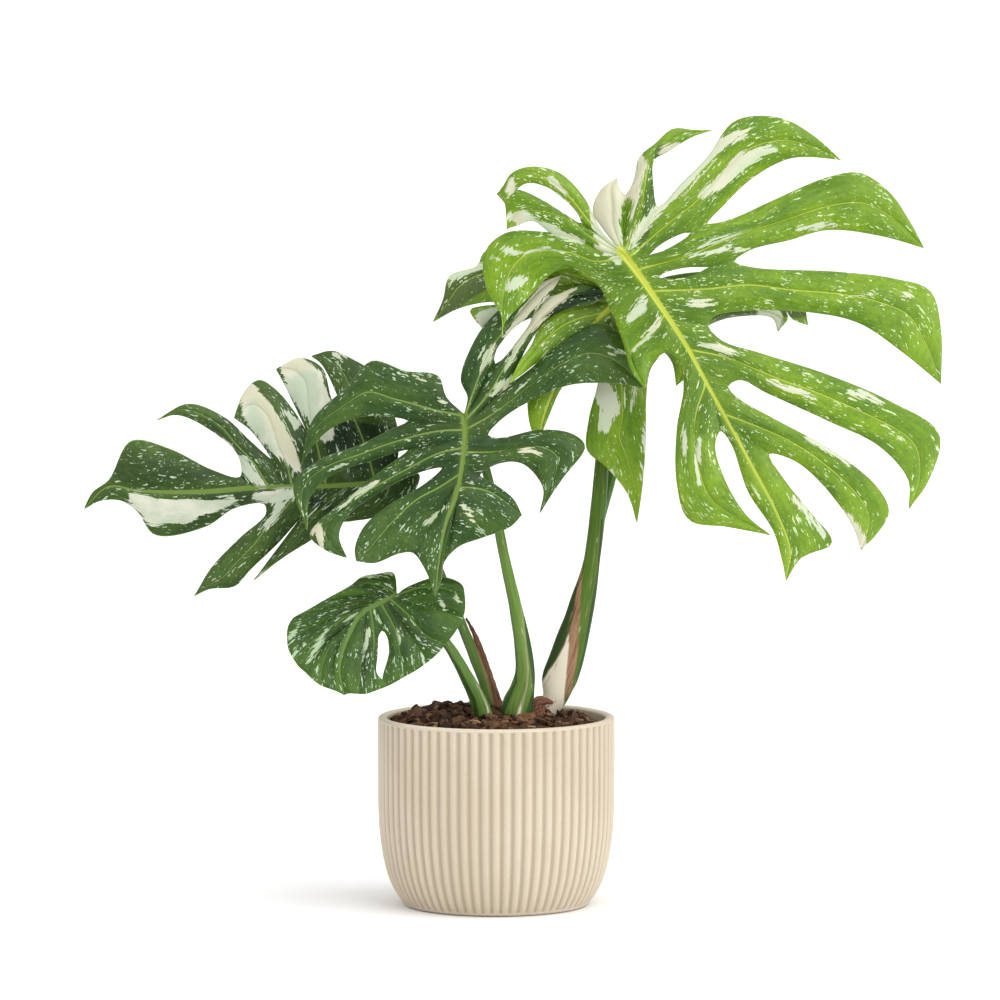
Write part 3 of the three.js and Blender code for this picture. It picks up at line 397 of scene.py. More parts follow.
LEFT_LEAF = LeafShape(
    "leaf_left", arch=4, root=5, tilt=-0.03, bow=0,
    midrib=[(396, 479), (371, 483), (330, 486), (265, 487), (200, 492), (140, 491), (108, 487),
            (84, 509)],
    right=Half(tilt=-0.25, bow=0, end=[(235, 508), (205, 527), (155, 535), (138, 512), (122, 501),
            (100, 501)], lobes=[
        Lobe(vein=[(390, 481), (386, 496), (368, 511)], tip=(344, 522), out=[(419, 474), (415, 490),
             (380, 515)], back=[], notch=(341, 511)),
        Lobe(vein=[(345, 485), (320, 510), (295, 540), (275, 561)], tip=(254, 580), out=[(316, 536),
             (285, 556)], back=[(275, 552)], notch=(301, 517), curl=-4),
        Lobe(vein=[(300, 487), (285, 508), (258, 535), (225, 568)], tip=(194, 596), out=[(280, 541),
             (250, 570), (235, 586), (210, 589)], back=[(212, 567), (240, 538), (266, 514)],
             notch=(264, 504), curl=-6),
    ]),
    left=Half(tilt=0.3, bow=0.001, end=[(212, 470), (170, 449), (131, 441), (109, 480), (93, 492)],
            lobes=[
        Lobe(vein=[(375, 482), (363, 440), (345, 400), (330, 375)], tip=(311, 356), out=[(398, 430),
             (375, 375), (350, 358), (332, 351)], back=[(321, 364), (335, 390)], notch=(345, 420)),
        Lobe(vein=[(325, 485), (318, 450), (308, 415), (293, 390)], tip=(276, 369), out=[(332, 400),
             (322, 368), (300, 358)], back=[(286, 388)], notch=(307, 432)),
        Lobe(vein=[(292, 486), (286, 462), (273, 438), (255, 415)], tip=(234, 418), out=[(294, 411),
             (275, 389), (259, 380), (245, 391)], back=[(252, 432)], notch=(271, 459)),
        Lobe(vein=[(267, 486), (250, 458), (222, 434), (190, 410)], tip=(157, 420), out=[(250, 441),
             (225, 418), (188, 404)], back=[(178, 415), (212, 431), (238, 455)], notch=(240, 477),
             curl=-6),
    ]),
)

SMALL_LEAF = LeafShape(
    "leaf_small", arch=2, root=-45, tilt=-0.45, bow=0,
    midrib=[(397, 594), (380, 603), (361, 614), (346, 640), (339, 668), (344, 695)],
    right=Half(tilt=-0.02, bow=0, end=[(350, 693)], lobes=[
        Lobe(vein=[(395, 595), (420, 588), (445, 589)], tip=(465, 597), out=[(410, 586), (441, 577),
             (462, 585)], back=[(465, 608)], notch=(463, 618)),
        Lobe(vein=[(390, 598), (408, 615), (425, 635)], tip=(445, 645), out=[(455, 632)],
             back=[(438, 653)], notch=(428, 662)),
        Lobe(vein=[(381, 603), (395, 630), (400, 655)], tip=(404, 677), out=[(418, 669)],
             back=[(397, 681)], notch=(388, 686), seam=[(381, 628), (384, 656), (381, 677)],
             hole=Hole(0.3, 0.88, 7)),
        Lobe(vein=[(370, 609), (374, 640), (371, 670)], tip=(372, 692), out=[(380, 689)],
             back=[(366, 694)], notch=(359, 694)),
    ]),
    left=Half(tilt=0.1, bow=0.001, end=[(338, 692)], lobes=[
        Lobe(vein=[(396, 592), (384, 587), (370, 584)], tip=(352, 585), out=[(393, 573), (378, 574),
             (362, 577)], back=[(340, 592)], notch=(325, 600), curl=6, seam=[(362, 595)]),
        Lobe(vein=[(379, 604), (350, 605), (318, 611)], tip=(293, 618), out=[(308, 610)],
             back=[(288, 627)], notch=(287, 640), seam=[(346, 613), (315, 626)]),
        Lobe(vein=[(366, 611), (342, 620), (317, 638)], tip=(294, 660), out=[(289, 651)],
             back=[(299, 667)], notch=(306, 673), seam=[(336, 634), (317, 653)]),
        Lobe(vein=[(351, 630), (331, 645), (323, 664)], tip=(320, 685), out=[(313, 680)],
             back=[(327, 688)], notch=(333, 690), seam=[(339, 643), (333, 667)]),
    ]),
)

# ---------------------------------------------------------------- variegation strokes


class Paint(Enum):
    """What a stroke leaves: cream, green inside cream, deep green that is partly painted shade, beige
    cream, or dry brown.
    """

    CREAM = "cream"
    GREEN = "green"
    DARK = "dark"
    BEIGE = "beige"
    BROWN = "brown"


Stroke = list[tuple[float, float, float]]  # stations of (x, y, half width), in sight units
Strokes = dict[Paint, list[Stroke]]


def inside_strokes(xy: Array, strokes: list[Stroke]) -> Array:
    """How far each point lies inside any of the strokes, in sight units; below 0 outside them.

    A stroke is the union of discs that slide and grow from one station to the next.
    """
    best = np.full(len(xy), -30.0)
    for stroke in strokes:
        stations = np.array(stroke * 2 if len(stroke) == 1 else stroke, float)
        for a, b in zip(stations[:-1], stations[1:]):
            way = b[:2] - a[:2]
            t = np.clip((xy - a[:2]) @ way / max(way @ way, 1e-9), 0, 1)
            gap = np.linalg.norm(xy - a[:2] - t[:, None] * way, axis=1)
            best = np.maximum(best, a[2] + (b[2] - a[2]) * t - gap)
    return best


# ---------------------------------------------------------------- meshes


def grid_faces(grid: Array) -> Array:
    """Two triangles for each cell of a grid of vertex numbers."""
    a, b, c, d = grid[:-1, :-1], grid[:-1, 1:], grid[1:, 1:], grid[1:, :-1]
    return np.stack([a, b, c, a, c, d], axis=-1).reshape(-1, 3)


def ring_faces(rings: int, sides: int) -> Array:
    """A closed tube's triangles: its rings from the first to the last, and a fan over each end.

    The fans meet in two vertices that follow those of the rings, the first ring's and then the last one's.
    """
    grid = np.arange(rings * sides).reshape(rings, sides)
    grid = np.hstack([grid, grid[:, :1]])
    first, last = np.full(sides, rings * sides), np.full(sides, rings * sides + 1)
    fans = [
        np.stack([first, grid[0, 1:], grid[0, :-1]], axis=1),
        np.stack([last, grid[-1, :-1], grid[-1, 1:]], axis=1),
    ]
    return np.vstack([grid_faces(grid), *fans])


class MeshMaker:
    """A mesh filled from whole arrays."""

    def __init__(self, name: str, points: Array, faces: Array, smooth: bool = True) -> None:
        """Fills a new mesh with points and with faces of one size."""
        self.mesh = bpy.data.meshes.new(name)
        self.mesh.from_pydata(points.tolist(), [], faces.tolist())
        self.mesh.polygons.foreach_set("use_smooth", np.full(len(faces), smooth))
        self.mesh.update()

    def corner_map(self, name: str, values: Array) -> None:
        """Adds a UV map from (corners, 2) values."""
        corners = self.mesh.uv_layers.new(name=name).data
        corners.foreach_set("uv", np.ascontiguousarray(values, np.float32).ravel())

    def value(self, name: str, values: Array, domain: str = "POINT") -> None:
        """Adds a number to each vertex, or to each face for the domain FACE."""
        self.mesh.attributes.new(name, "FLOAT", domain).data.foreach_set("value", values.astype(np.float32))

    def paint(self, at: Array, strokes: Strokes, reach: float, *paints: Paint) -> None:
        """Adds to each vertex, for each paint, how far inside its strokes it lies, from -1 to 1.

        Args:
            at: (vertices, 2) where the vertices are seen on the view.
            strokes: The strokes.
            reach: The way in, in sight units, that counts as 1.
            paints: The paints. Cream leaves out what green covers.
        """
        for paint in paints:
            inside = inside_strokes(at, strokes.get(paint, []))
            if paint is Paint.CREAM:
                inside = np.minimum(inside, -inside_strokes(at, strokes.get(Paint.GREEN, [])))
            self.value(paint.value, np.clip(inside / reach, -1, 1))

    def object(self) -> bpy.types.Object:
        """Puts the mesh into the scene as an object at the origin."""
        made = bpy.data.objects.new(self.mesh.name, self.mesh)
        bpy.context.scene.collection.objects.link(made)
        return made


# ---------------------------------------------------------------- leaf blades


@dataclass
class Patch:
    """A half-lobe on a grid of rows and columns.

    Attributes:
        at: (rows, columns, 2) points on the view.
        lift: (rows, columns) extra depth, in mm.
        flow: (rows, columns, 2) mm along the side vein and mm beside it.
        share: (rows, columns, 2) shares of the lobe's length and of its half width.
        free: (rows,) 1 where the edge is a free margin.
        turn: 1 or -1, which way round the faces go.
        lobe: The lobe's number.
    """

    at: Array
    lift: Array
    flow: Array
    share: Array
    free: Array
    turn: int
    lobe: int


@dataclass(frozen=True)
class Relief:
    """The small forms of a blade, in mm: sunken veins, pillows between them, and a rippled margin."""

    sink: float = 0.9
    sink_width: float = 2.4
    pillow: float = 1.3
    ripple: float = 1.1
    ripple_length: float = 33.0
    midrib_sink: float = 0.9


class Blade:
    """A leaf blade, worked out as half-lobes between each side vein and the margin."""

    def __init__(self, shape: LeafShape, relief: Relief) -> None:
        """Keeps the shape and works out the midrib's line."""
        self.shape = shape
        self.relief = relief
        self.rib = smooth_line(shape.midrib)
        self.patches: list[Patch] = []

    def rib_point(self, share: Array | float, sign: int) -> Array:
        """The midrib's side at a share of its length: its line shifted by a half width that tapers."""
        share = np.asarray(share, float)
        at = point_along(self.rib, share)
        way = point_along(self.rib, share + RIB_STEP) - point_along(self.rib, share - RIB_STEP)
        way /= np.linalg.norm(way, axis=-1, keepdims=True)
        wide = sign * MIDRIB_HALF_WIDTH / SIGHT.unit * (1 - share) ** 0.7 * np.minimum(1, 0.2 + share * 8)
        return at + np.stack([way[..., 1], -way[..., 0]], axis=-1) * wide[..., None]

    def side(self, half: Half, sign: int) -> Array:
        """Adds one side's patches.

        Args:
            half: The side's lobes.
            sign: 1 for the right side, -1 for the left.

        Returns:
            (n, 2) points along the midrib's edge, from the foot to the tip.
        """
        foot, tip = np.array(self.shape.midrib[0], float), np.array(self.shape.midrib[-1], float)
        lobes = half.lobes
        count = len(lobes)
        roots: list[float] = []
        for lobe in lobes:
            least = (roots[-1] if roots else 0) + ROOT_GAP
            roots.append(max(nearest_share(self.rib, lobe.vein[0]), least))
        seam_roots = [(a + b) / 2 for a, b in zip(roots, roots[1:])] + [roots[-1] + 0.05]
        veins = [
            smooth_line([tuple(self.rib_point(root, sign)), *lobe.vein[1:], lobe.tip])
            for lobe, root in zip(lobes, roots)
        ]
        ends = self.rib_point(np.linspace(seam_roots[-1], 1, RIB_END_STEPS)[:-1], sign)
        veins.append(np.vstack([ends, tip]))
        seams = []
        for i, lobe in enumerate(lobes):
            line = smooth_line([tuple(self.rib_point(seam_roots[i], sign)), *lobe.seam, lobe.notch])
            reach = (nearest_share(veins[i], lobe.notch) + nearest_share(veins[i + 1], lobe.notch)) / 2
            rows = round((lobe.seam_share or max(1, round(reach * CAD_ROWS)) / CAD_ROWS) * LOBE_ROWS)
            seams.append((line, min(LOBE_ROWS - 4, rows), lobe.hole))
        tips = [lobe.tip for lobe in lobes] + [tuple(tip)]
        outs = [lobe.out for lobe in lobes] + [half.end]

        def margin_out(i: int) -> Array:
            if i == 0:
                return smooth_line([tuple(foot), *outs[0], tips[0]])
            before = lobes[i - 1]
            points = [tips[i - 1], *before.back, before.notch, *outs[i], tips[i]]
            return smooth_line(points, len(before.back) + 1, len(points) - 1)

        def margin_back(i: int) -> Array:
            points = [tips[i], *lobes[i].back, lobes[i].notch, *outs[i + 1], tips[i + 1]]
            return smooth_line(points, 0, len(lobes[i].back) + 1)[::-1]

        chain = []
        for i, vein in enumerate(veins):
            lobe = lobes[i] if i < count else Lobe([], tips[i], [], [], tips[i])
            before = seams[i - 1] if i > 0 else None
            after = seams[i] if i < count else None
            free_from = max(before[1] if before else 0, after[1] if after else 0) / LOBE_ROWS
            out_edge = self.edge_rows(before, margin_out(i), vein)
            shares = np.arange(LOBE_ROWS + 1) / LOBE_ROWS
            vein_rows = point_along(vein, shares)
            number = i + (LEFT_LOBES if sign < 0 else 0)
            start = self.rib_point(seam_roots[i - 1], sign) if i > 0 else foot
            if after is None:
                self.add_patch(vein_rows, out_edge, None, -sign, lobe, free_from, before, number)
                chain.append(vein_rows)
                continue
            back_edge = self.edge_rows(after, margin_back(i), vein)
            centring = smooth_step(0, 1.6 / max(lobe.centring, 0.1), shares - free_from)[:, None]
            centring = centring * (lobe.centring > 0)
            vein_rows = vein_rows + ((out_edge + back_edge) / 2 - vein_rows) * centring
            root, end = self.rib_point(roots[i], sign), self.rib_point(seam_roots[i], sign)
            self.add_patch(vein_rows, out_edge, (root, start), -sign, lobe, free_from, before, number)
            self.add_patch(vein_rows, back_edge, (root, end), sign, lobe, free_from, after, number)
            chain.append((start + (root - start) * (1 - self.columns()[::-1, None]))[:-1])
            chain.append((root + (end - root) * self.columns()[:, None])[:-1])
        return np.vstack(chain)

    @staticmethod
    def columns() -> Array:
        """The columns' places between vein and edge, closer together beside the vein."""
        return np.linspace(0, 1, LOBE_COLUMNS + 1) ** 1.25

    @staticmethod
    def edge_rows(seam: tuple | None, margin: Array, vein: Array) -> Array:
        """A half-lobe's edge at each row: the seam, opened where it has a slit, and then the free margin.

        In a slit the edge moves towards the vein by half * sqrt(1 - t^2), with t from -1 to 1 along it.
        """
        rows = np.arange(LOBE_ROWS + 1)
        taken = seam[1] if seam else 0
        edge = point_along(margin, (rows - taken) / (LOBE_ROWS - taken))
        if seam is None:
            return edge
        line, _, hole = seam
        share = rows / taken
        closed = point_along(line, share)
        if hole:
            middle, reach = (hole.start + hole.end) / 2, (hole.end - hole.start) / 2
            t = np.clip(np.abs(share - middle) / reach, 0, 1)
            to_vein = point_along(vein, rows / LOBE_ROWS) - closed
            away = np.linalg.norm(to_vein, axis=1)
            closed = closed + to_vein * np.minimum(hole.half * np.sqrt(1 - t**2) / away, 0.6)[:, None]
        return np.where((rows <= taken)[:, None], closed, edge)

    def add_patch(
        self, vein: Array, edge: Array, root: tuple[Array, Array] | None, turn: int, lobe: Lobe,
        free_from: float, seam: tuple | None, number: int,
    ) -> None:
        """Adds a half-lobe: straight columns from vein to edge, with its arch, curl and relief as depth.

        Args:
            vein: (rows, 2) points of the side vein.
            edge: (rows, 2) points of the half-lobe's edge.
            root: The midrib's points that the first row joins, at the vein and at the seam.
            turn: Which way round the faces go.
            lobe: The lobe, for its curl.
            free_from: The share of the length past which both edges are free.
            seam: The seam on this side.
            number: The lobe's number.
        """
        columns = self.columns()
        vein, edge = vein.copy(), edge.copy()
        if root is not None:
            vein[0], edge[0] = root
        at = vein[:, None] + (edge - vein)[:, None] * columns[None, :, None]
        share = (np.arange(LOBE_ROWS + 1) / LOBE_ROWS)[:, None]
        across = columns[None]
        run = run_length(vein)[:, None] * SIGHT.unit
        wide = np.linalg.norm(edge - vein, axis=1)[:, None] * SIGHT.unit
        beside = wide * across
        free = smooth_step(free_from, free_from + 0.2, share)
        grown = smooth_step(0, 0.08, share)
        arch = self.shape.arch * np.sin(math.pi * np.minimum(1, share + 0.08)) * across**2 * grown
        curl = lobe.curl * (np.maximum(0, share - free_from) / (1 - free_from)) ** 2
        relief = self.relief
        sink = relief.sink * np.exp(-((beside / relief.sink_width) ** 2)) * (1 - share) ** 0.4
        pillow = -relief.pillow * np.sin(math.pi * across) * np.minimum(1, wide / 14) * grown
        wave = np.sin(2 * math.pi * run / relief.ripple_length + number * 1.9 + turn)
        ripple = relief.ripple * wave * across**2 * free * (1 - share) ** 0.3
        flow = np.stack(np.broadcast_arrays(run, beside * turn), axis=-1)
        shares = np.stack(np.broadcast_arrays(share, across), axis=-1)
        rows_of_seam = seam[1] if seam else 0
        is_free = (np.arange(LOBE_ROWS + 1) >= rows_of_seam).astype(float)
        lift = np.broadcast_to(arch + curl + grown * sink + pillow + ripple, at.shape[:2])
        self.patches.append(Patch(at, lift, flow, shares, is_free, turn, number))

    @staticmethod
    def zip_chains(a: Array, b: Array, offset_a: int, offset_b: int) -> Array:
        """Triangles between two chains that start and end together, taken in order of length walked."""
        run_a, run_b = run_length(a), run_length(b)
        run_a, run_b = run_a / run_a[-1], run_b / run_b[-1]
        i, j = np.arange(1, len(a)), np.arange(1, len(b))
        beside_i = np.searchsorted(run_b[1:], run_a[1:], side="left")
        beside_j = np.searchsorted(run_a[1:], run_b[1:], side="right")
        one = np.stack([offset_a + i - 1, offset_b + beside_i, offset_a + i], axis=1)
        two = np.stack([offset_a + beside_j, offset_b + j - 1, offset_b + j], axis=1)
        return np.vstack([one, two])

    def build(self, name: str, strokes: Strokes) -> bpy.types.Object:
        """Makes the blade's middle surface, merged along veins and seams, with its maps and attributes.

        Args:
            name: The object's name.
            strokes: The variegation's strokes.

        Returns:
            The object; its thickness comes from a modifier.
        """
        right = self.side(self.shape.right, 1)
        left = self.side(self.shape.left, -1)
        rib_shares = np.linspace(0, 1, RIB_STEPS)
        centre = point_along(self.rib, rib_shares)
        at = np.vstack([p.at.reshape(-1, 2) for p in self.patches] + [right, centre, left])
        chained = np.zeros(len(right) + len(centre) + len(left))
        chained[len(right) : len(right) + len(centre)] = self.relief.midrib_sink * (1 - rib_shares**2)
        lift = np.concatenate([p.lift.ravel() for p in self.patches] + [chained])
        margin = np.zeros(len(at))
        triangles, flow, shares, lobes = [], [], [], []
        base = 0
        for patch in self.patches:
            rows, columns = patch.at.shape[:2]
            grid = base + np.arange(rows * columns).reshape(rows, columns)
            margin[grid[:, -1]] = patch.free
            tris = grid_faces(grid)[:, :: patch.turn]
            triangles.append(tris)
            flow.append(patch.flow.reshape(-1, 2)[tris - base])
            shares.append(patch.share.reshape(-1, 2)[tris - base])
            lobes.append(np.full(len(tris), float(patch.lobe)))
            base += rows * columns
        right_at, centre_at, left_at = base, base + len(right), base + len(right) + len(centre)
        strips = np.vstack([
            self.zip_chains(right, centre, right_at, centre_at),
            self.zip_chains(centre, left, centre_at, left_at),
        ])
        triangles.append(strips)
        flow.append(np.zeros((len(strips), 3, 2)))
        shares.append(np.zeros((len(strips), 3, 2)))
        lobes.append(np.full(len(strips), RIB_LOBE))

        keys = np.round(at * MERGE).astype(np.int64)
        _, firsts, number = np.unique(keys, axis=0, return_index=True, return_inverse=True)
        number = number.ravel()
        counts = np.bincount(number)
        xy = at[firsts]
        depth = self.shape.depth(xy) + np.bincount(number, lift) / counts
        tris = number[np.vstack(triangles)]
        real = (tris[:, 0] != tris[:, 1]) & (tris[:, 1] != tris[:, 2]) & (tris[:, 0] != tris[:, 2])
        points = SIGHT.seen_at(xy, depth)
        tris, flow_all = tris[real], np.vstack(flow)[real]
        share_all, lobe_all = np.vstack(shares)[real], np.concatenate(lobes)[real]
        mesh = MeshMaker(name, points, tris)
        mesh.corner_map("flow", flow_all.reshape(-1, 2) / FLOW_SCALE)
        mesh.corner_map("share", share_all.reshape(-1, 2))
        mesh.value("lobe", lobe_all, "FACE")
        line = point_along(self.rib, np.linspace(0, 1, RIB_SAMPLES))
        away = np.linalg.norm(xy[:, None] - line[None], axis=2)
        mesh.value("rib_away", np.minimum(away.min(axis=1) * SIGHT.unit, RIB_REACH))
        mesh.value("rib_share", away.argmin(axis=1) / (RIB_SAMPLES - 1))
        peak = np.zeros(len(points))
        np.maximum.at(peak, number, margin)
        mesh.value("margin", peak)
        mesh.paint(xy, strokes, LEAF_REACH, Paint.CREAM, Paint.DARK, Paint.BEIGE)
        return mesh.object()


# ---------------------------------------------------------------- shader maths


def operator(operation: str, swapped: bool = False) -> Callable[["Value", "Value | float"], "Value"]:
    """A method that adds a Math node for an operator; swapped puts the other operand first."""

    def apply(self: "Value", other: "Value | float") -> "Value":
        pair = (other, self) if swapped else (self, other)
        return self.graph.math(operation, *pair)

    return apply


class Value:
    """A number in a shader. Arithmetic on it adds Math nodes."""

    def __init__(self, graph: "Graph", socket: bpy.types.NodeSocket) -> None:
        """Wraps an output socket."""
        self.graph = graph
        self.socket = socket

    def math(self, operation: str, *others: "Value | float") -> "Value":
        """A Math node's result on this value and up to two more."""
        return self.graph.math(operation, self, *others)

    __add__, __radd__ = operator("ADD"), operator("ADD", swapped=True)
    __sub__, __rsub__ = operator("SUBTRACT"), operator("SUBTRACT", swapped=True)
    __mul__, __rmul__ = operator("MULTIPLY"), operator("MULTIPLY", swapped=True)
    __truediv__ = operator("DIVIDE")

    def __abs__(self) -> "Value":
        """|self|."""
        return self.math("ABSOLUTE")

    def rise(self, low: float, high: float) -> "Value":
        """0 at low and 1 at high, smooth between them; low may be the larger."""
        made = self.graph.node(
            "ShaderNodeMapRange", {"interpolation_type": "SMOOTHSTEP"},
            {"Value": self, "From Min": min(low, high), "From Max": max(low, high)},
        )
        risen = Value(self.graph, made.outputs["Result"])
        return risen if low < high else 1 - risen

    def either(self, other: "Value") -> "Value":
        """The larger of two masks."""
        return self.graph.math("MAXIMUM", self, other)


class Graph:
    """A material's node tree, ending in one Principled shader."""

    def __init__(self, name: str) -> None:
        """Makes the material and its shader."""
        self.material = bpy.data.materials.new(name)
        self.material.use_nodes = True
        self.tree = self.material.node_tree
        self.tree.nodes.clear()
        self.shader = self.node("ShaderNodeBsdfPrincipled")
        self.node("ShaderNodeOutputMaterial", inputs={"Surface": self.shader.outputs["BSDF"]})

    def node(self, kind: str, settings: dict | None = None, inputs: dict | None = None) -> bpy.types.Node:
        """Adds a node.

        Args:
            kind: The node's type.
            settings: Attributes set first; "stops" fills a colour ramp with (place, colour) pairs.
            inputs: Values or links by socket name or number.

        Returns:
            The node.
        """
        made = self.tree.nodes.new(kind)
        for key, value in (settings or {}).items():
            if key != "stops":
                setattr(made, key, value)
                continue
            ramp = made.color_ramp.elements
            while len(ramp) < len(value):
                ramp.new(0.5)
            for element, (place, colour) in zip(ramp, value):
                element.position = place
                element.color = (*colour, 1)
        for key, value in (inputs or {}).items():
            self.feed(made.inputs[key], value)
        return made

    def feed(self, socket: bpy.types.NodeSocket, value: object) -> None:
        """Links a socket to a value or a socket, or sets its constant; a plain colour becomes opaque."""
        if isinstance(value, Value):
            value = value.socket
        if isinstance(value, bpy.types.NodeSocket):
            self.tree.links.new(value, socket)
        elif isinstance(value, tuple) and socket.type == "RGBA" and len(value) == 3:
            socket.default_value = (*value, 1)
        else:
            socket.default_value = value

    def math(self, operation: str, *values: Value | float) -> Value:
        """A Math node on one to three values."""
        made = self.node("ShaderNodeMath", {"operation": operation}, dict(enumerate(values)))
        return Value(self, made.outputs[0])

    def mix(self, share: Value | float, one: Tint, two: Tint) -> bpy.types.NodeSocket:
        """Colour one turning into colour two."""
        made = self.node(
            "ShaderNodeMix", {"data_type": "RGBA", "clamp_factor": True}, {0: share, 6: one, 7: two}
        )
        return made.outputs[2]

    def layers(self, ground: Tint, *layers: tuple[Value | float, Tint]) -> Tint:
        """Colours laid over a ground one after another, each through its own mask."""
        for mask, colour in layers:
            ground = self.mix(mask, ground, colour)
        return ground

    def attribute(self, name: str) -> Value:
        """A number stored on the mesh."""
        made = self.node("ShaderNodeAttribute", {"attribute_name": name})
        return Value(self, made.outputs["Fac"])

    def map_axes(self, name: str) -> tuple[Value, Value]:
        """A UV map's two numbers."""
        made = self.node("ShaderNodeUVMap", {"uv_map": name})
        axes = self.node("ShaderNodeSeparateXYZ", inputs={0: made.outputs["UV"]})
        return Value(self, axes.outputs[0]), Value(self, axes.outputs[1])

    def place(self) -> bpy.types.NodeSocket:
        """The point's place in the frame, in metres."""
        return self.node("ShaderNodeTexCoord").outputs["Object"]

    def spot(self, at: Spot) -> bpy.types.NodeSocket:
        """A place in a texture, from a vector or from two or three numbers."""
        if isinstance(at, bpy.types.NodeSocket):
            return at
        return self.node("ShaderNodeCombineXYZ", inputs=dict(enumerate(at))).outputs[0]

    def wrap_axes(self) -> tuple[Value, Value, Value]:
        """A place on a tube: the cosine and sine of its turn round it, and the mm run along it."""
        turn, run = self.map_axes("wrap")
        angle = turn * (2 * math.pi)
        return angle.math("COSINE"), angle.math("SINE"), run * (1 / MM)

    def noise(self, at: Spot, scale: float = 1.0, detail: float = 2.0, rough: float = 0.5) -> Value:
        """Soft noise from 0 to 1."""
        inputs = {"Vector": self.spot(at), "Scale": scale, "Detail": detail, "Roughness": rough}
        return Value(self, self.node("ShaderNodeTexNoise", inputs=inputs).outputs[0])

    def cells(self, at: Spot) -> list[Value]:
        """Scattered cells: the distance to the nearest one's centre, and two numbers of its own."""
        made = self.node("ShaderNodeTexVoronoi", inputs={"Vector": self.spot(at), "Scale": 1.0})
        own = self.node("ShaderNodeSeparateColor", inputs={0: made.outputs["Color"]})
        return [Value(self, socket) for socket in (made.outputs["Distance"], *own.outputs[:2])]

    def bump(self, height: Value, strength: float, distance: float) -> None:
        """Gives the shader a bump from a height."""
        inputs = {"Height": height, "Strength": strength, "Distance": distance}
        made = self.node("ShaderNodeBump", inputs=inputs)
        self.feed(self.shader.inputs["Normal"], made.outputs["Normal"])

    def finish(self, colour: Tint, roughness: Value | float, **constants: object) -> bpy.types.Material:
        """Joins colour and roughness to the shader and sets its constants.

        Args:
            colour: The base colour.
            roughness: The roughness.
            constants: Values of the shader's other sockets, with _ for spaces.

        Returns:
            The material.
        """
        for key, value in {"Base Color": colour, "Roughness": roughness, **constants}.items():
            self.feed(self.shader.inputs[key.replace("_", " ")], value)
        return self.material


def srgb(red: int, green: int, blue: int) -> Colour:
    """A display colour of 0 to 255 as the linear colour that shaders take."""
    shares = (red / 255, green / 255, blue / 255)
    return tuple(c / 12.92 if c <= 0.04045 else ((c + 0.055) / 1.055) ** 2.4 for c in shares)


# ---------------------------------------------------------------- finishes


@dataclass(frozen=True)
class Marks:
    """One kind of pale mark on a leaf: cells stretched along the side veins, some with a mark inside.

    Attributes:
        length: A cell's length, in mm.
        width: Its width, in mm.
        radius: A mark's greatest half size, as a share of its cell.
        seed: Moves the cells.
        specks: How much a finish's specks add to the share of cells that hold a mark.
        streaks: How much its streaks add.
        least: The share that holds one anyway.
        strength: How strongly they show.
    """

    length: float
    width: float
    radius: float
    seed: float
    specks: float = 0.0
    streaks: float = 0.0
    least: float = 0.0
    strength: float = 0.9

    def mask(self, g: Graph, along: Value, beside: Value, lobe: Value, share: Value) -> Value:
        """Where the marks are.

        Args:
            g: The graph.
            along: mm along the side vein.
            beside: mm beside it.
            lobe: A number that differs between lobes.
            share: The share of cells that hold a mark.

        Returns:
            A mask.
        """
        away, own, grown = g.cells((along / self.length, beside / self.width, lobe + self.seed))
        inside = (self.radius * (grown * 0.75 + 0.35) - away).rise(-0.02, 0.05)
        return inside * (own + share).rise(0.98, 1.0) * self.strength


LEAF_MARKS = (
    Marks(8.0, 1.3, radius=0.42, seed=0.0, specks=0.8),
    Marks(3.6, 1.0, radius=0.4, seed=5.7, specks=0.9),
    Marks(1.3, 0.9, radius=0.34, seed=11.3, specks=0.5, least=0.04, strength=0.8),
    Marks(24.0, 3.0, radius=0.36, seed=23.9, streaks=1.0),
)


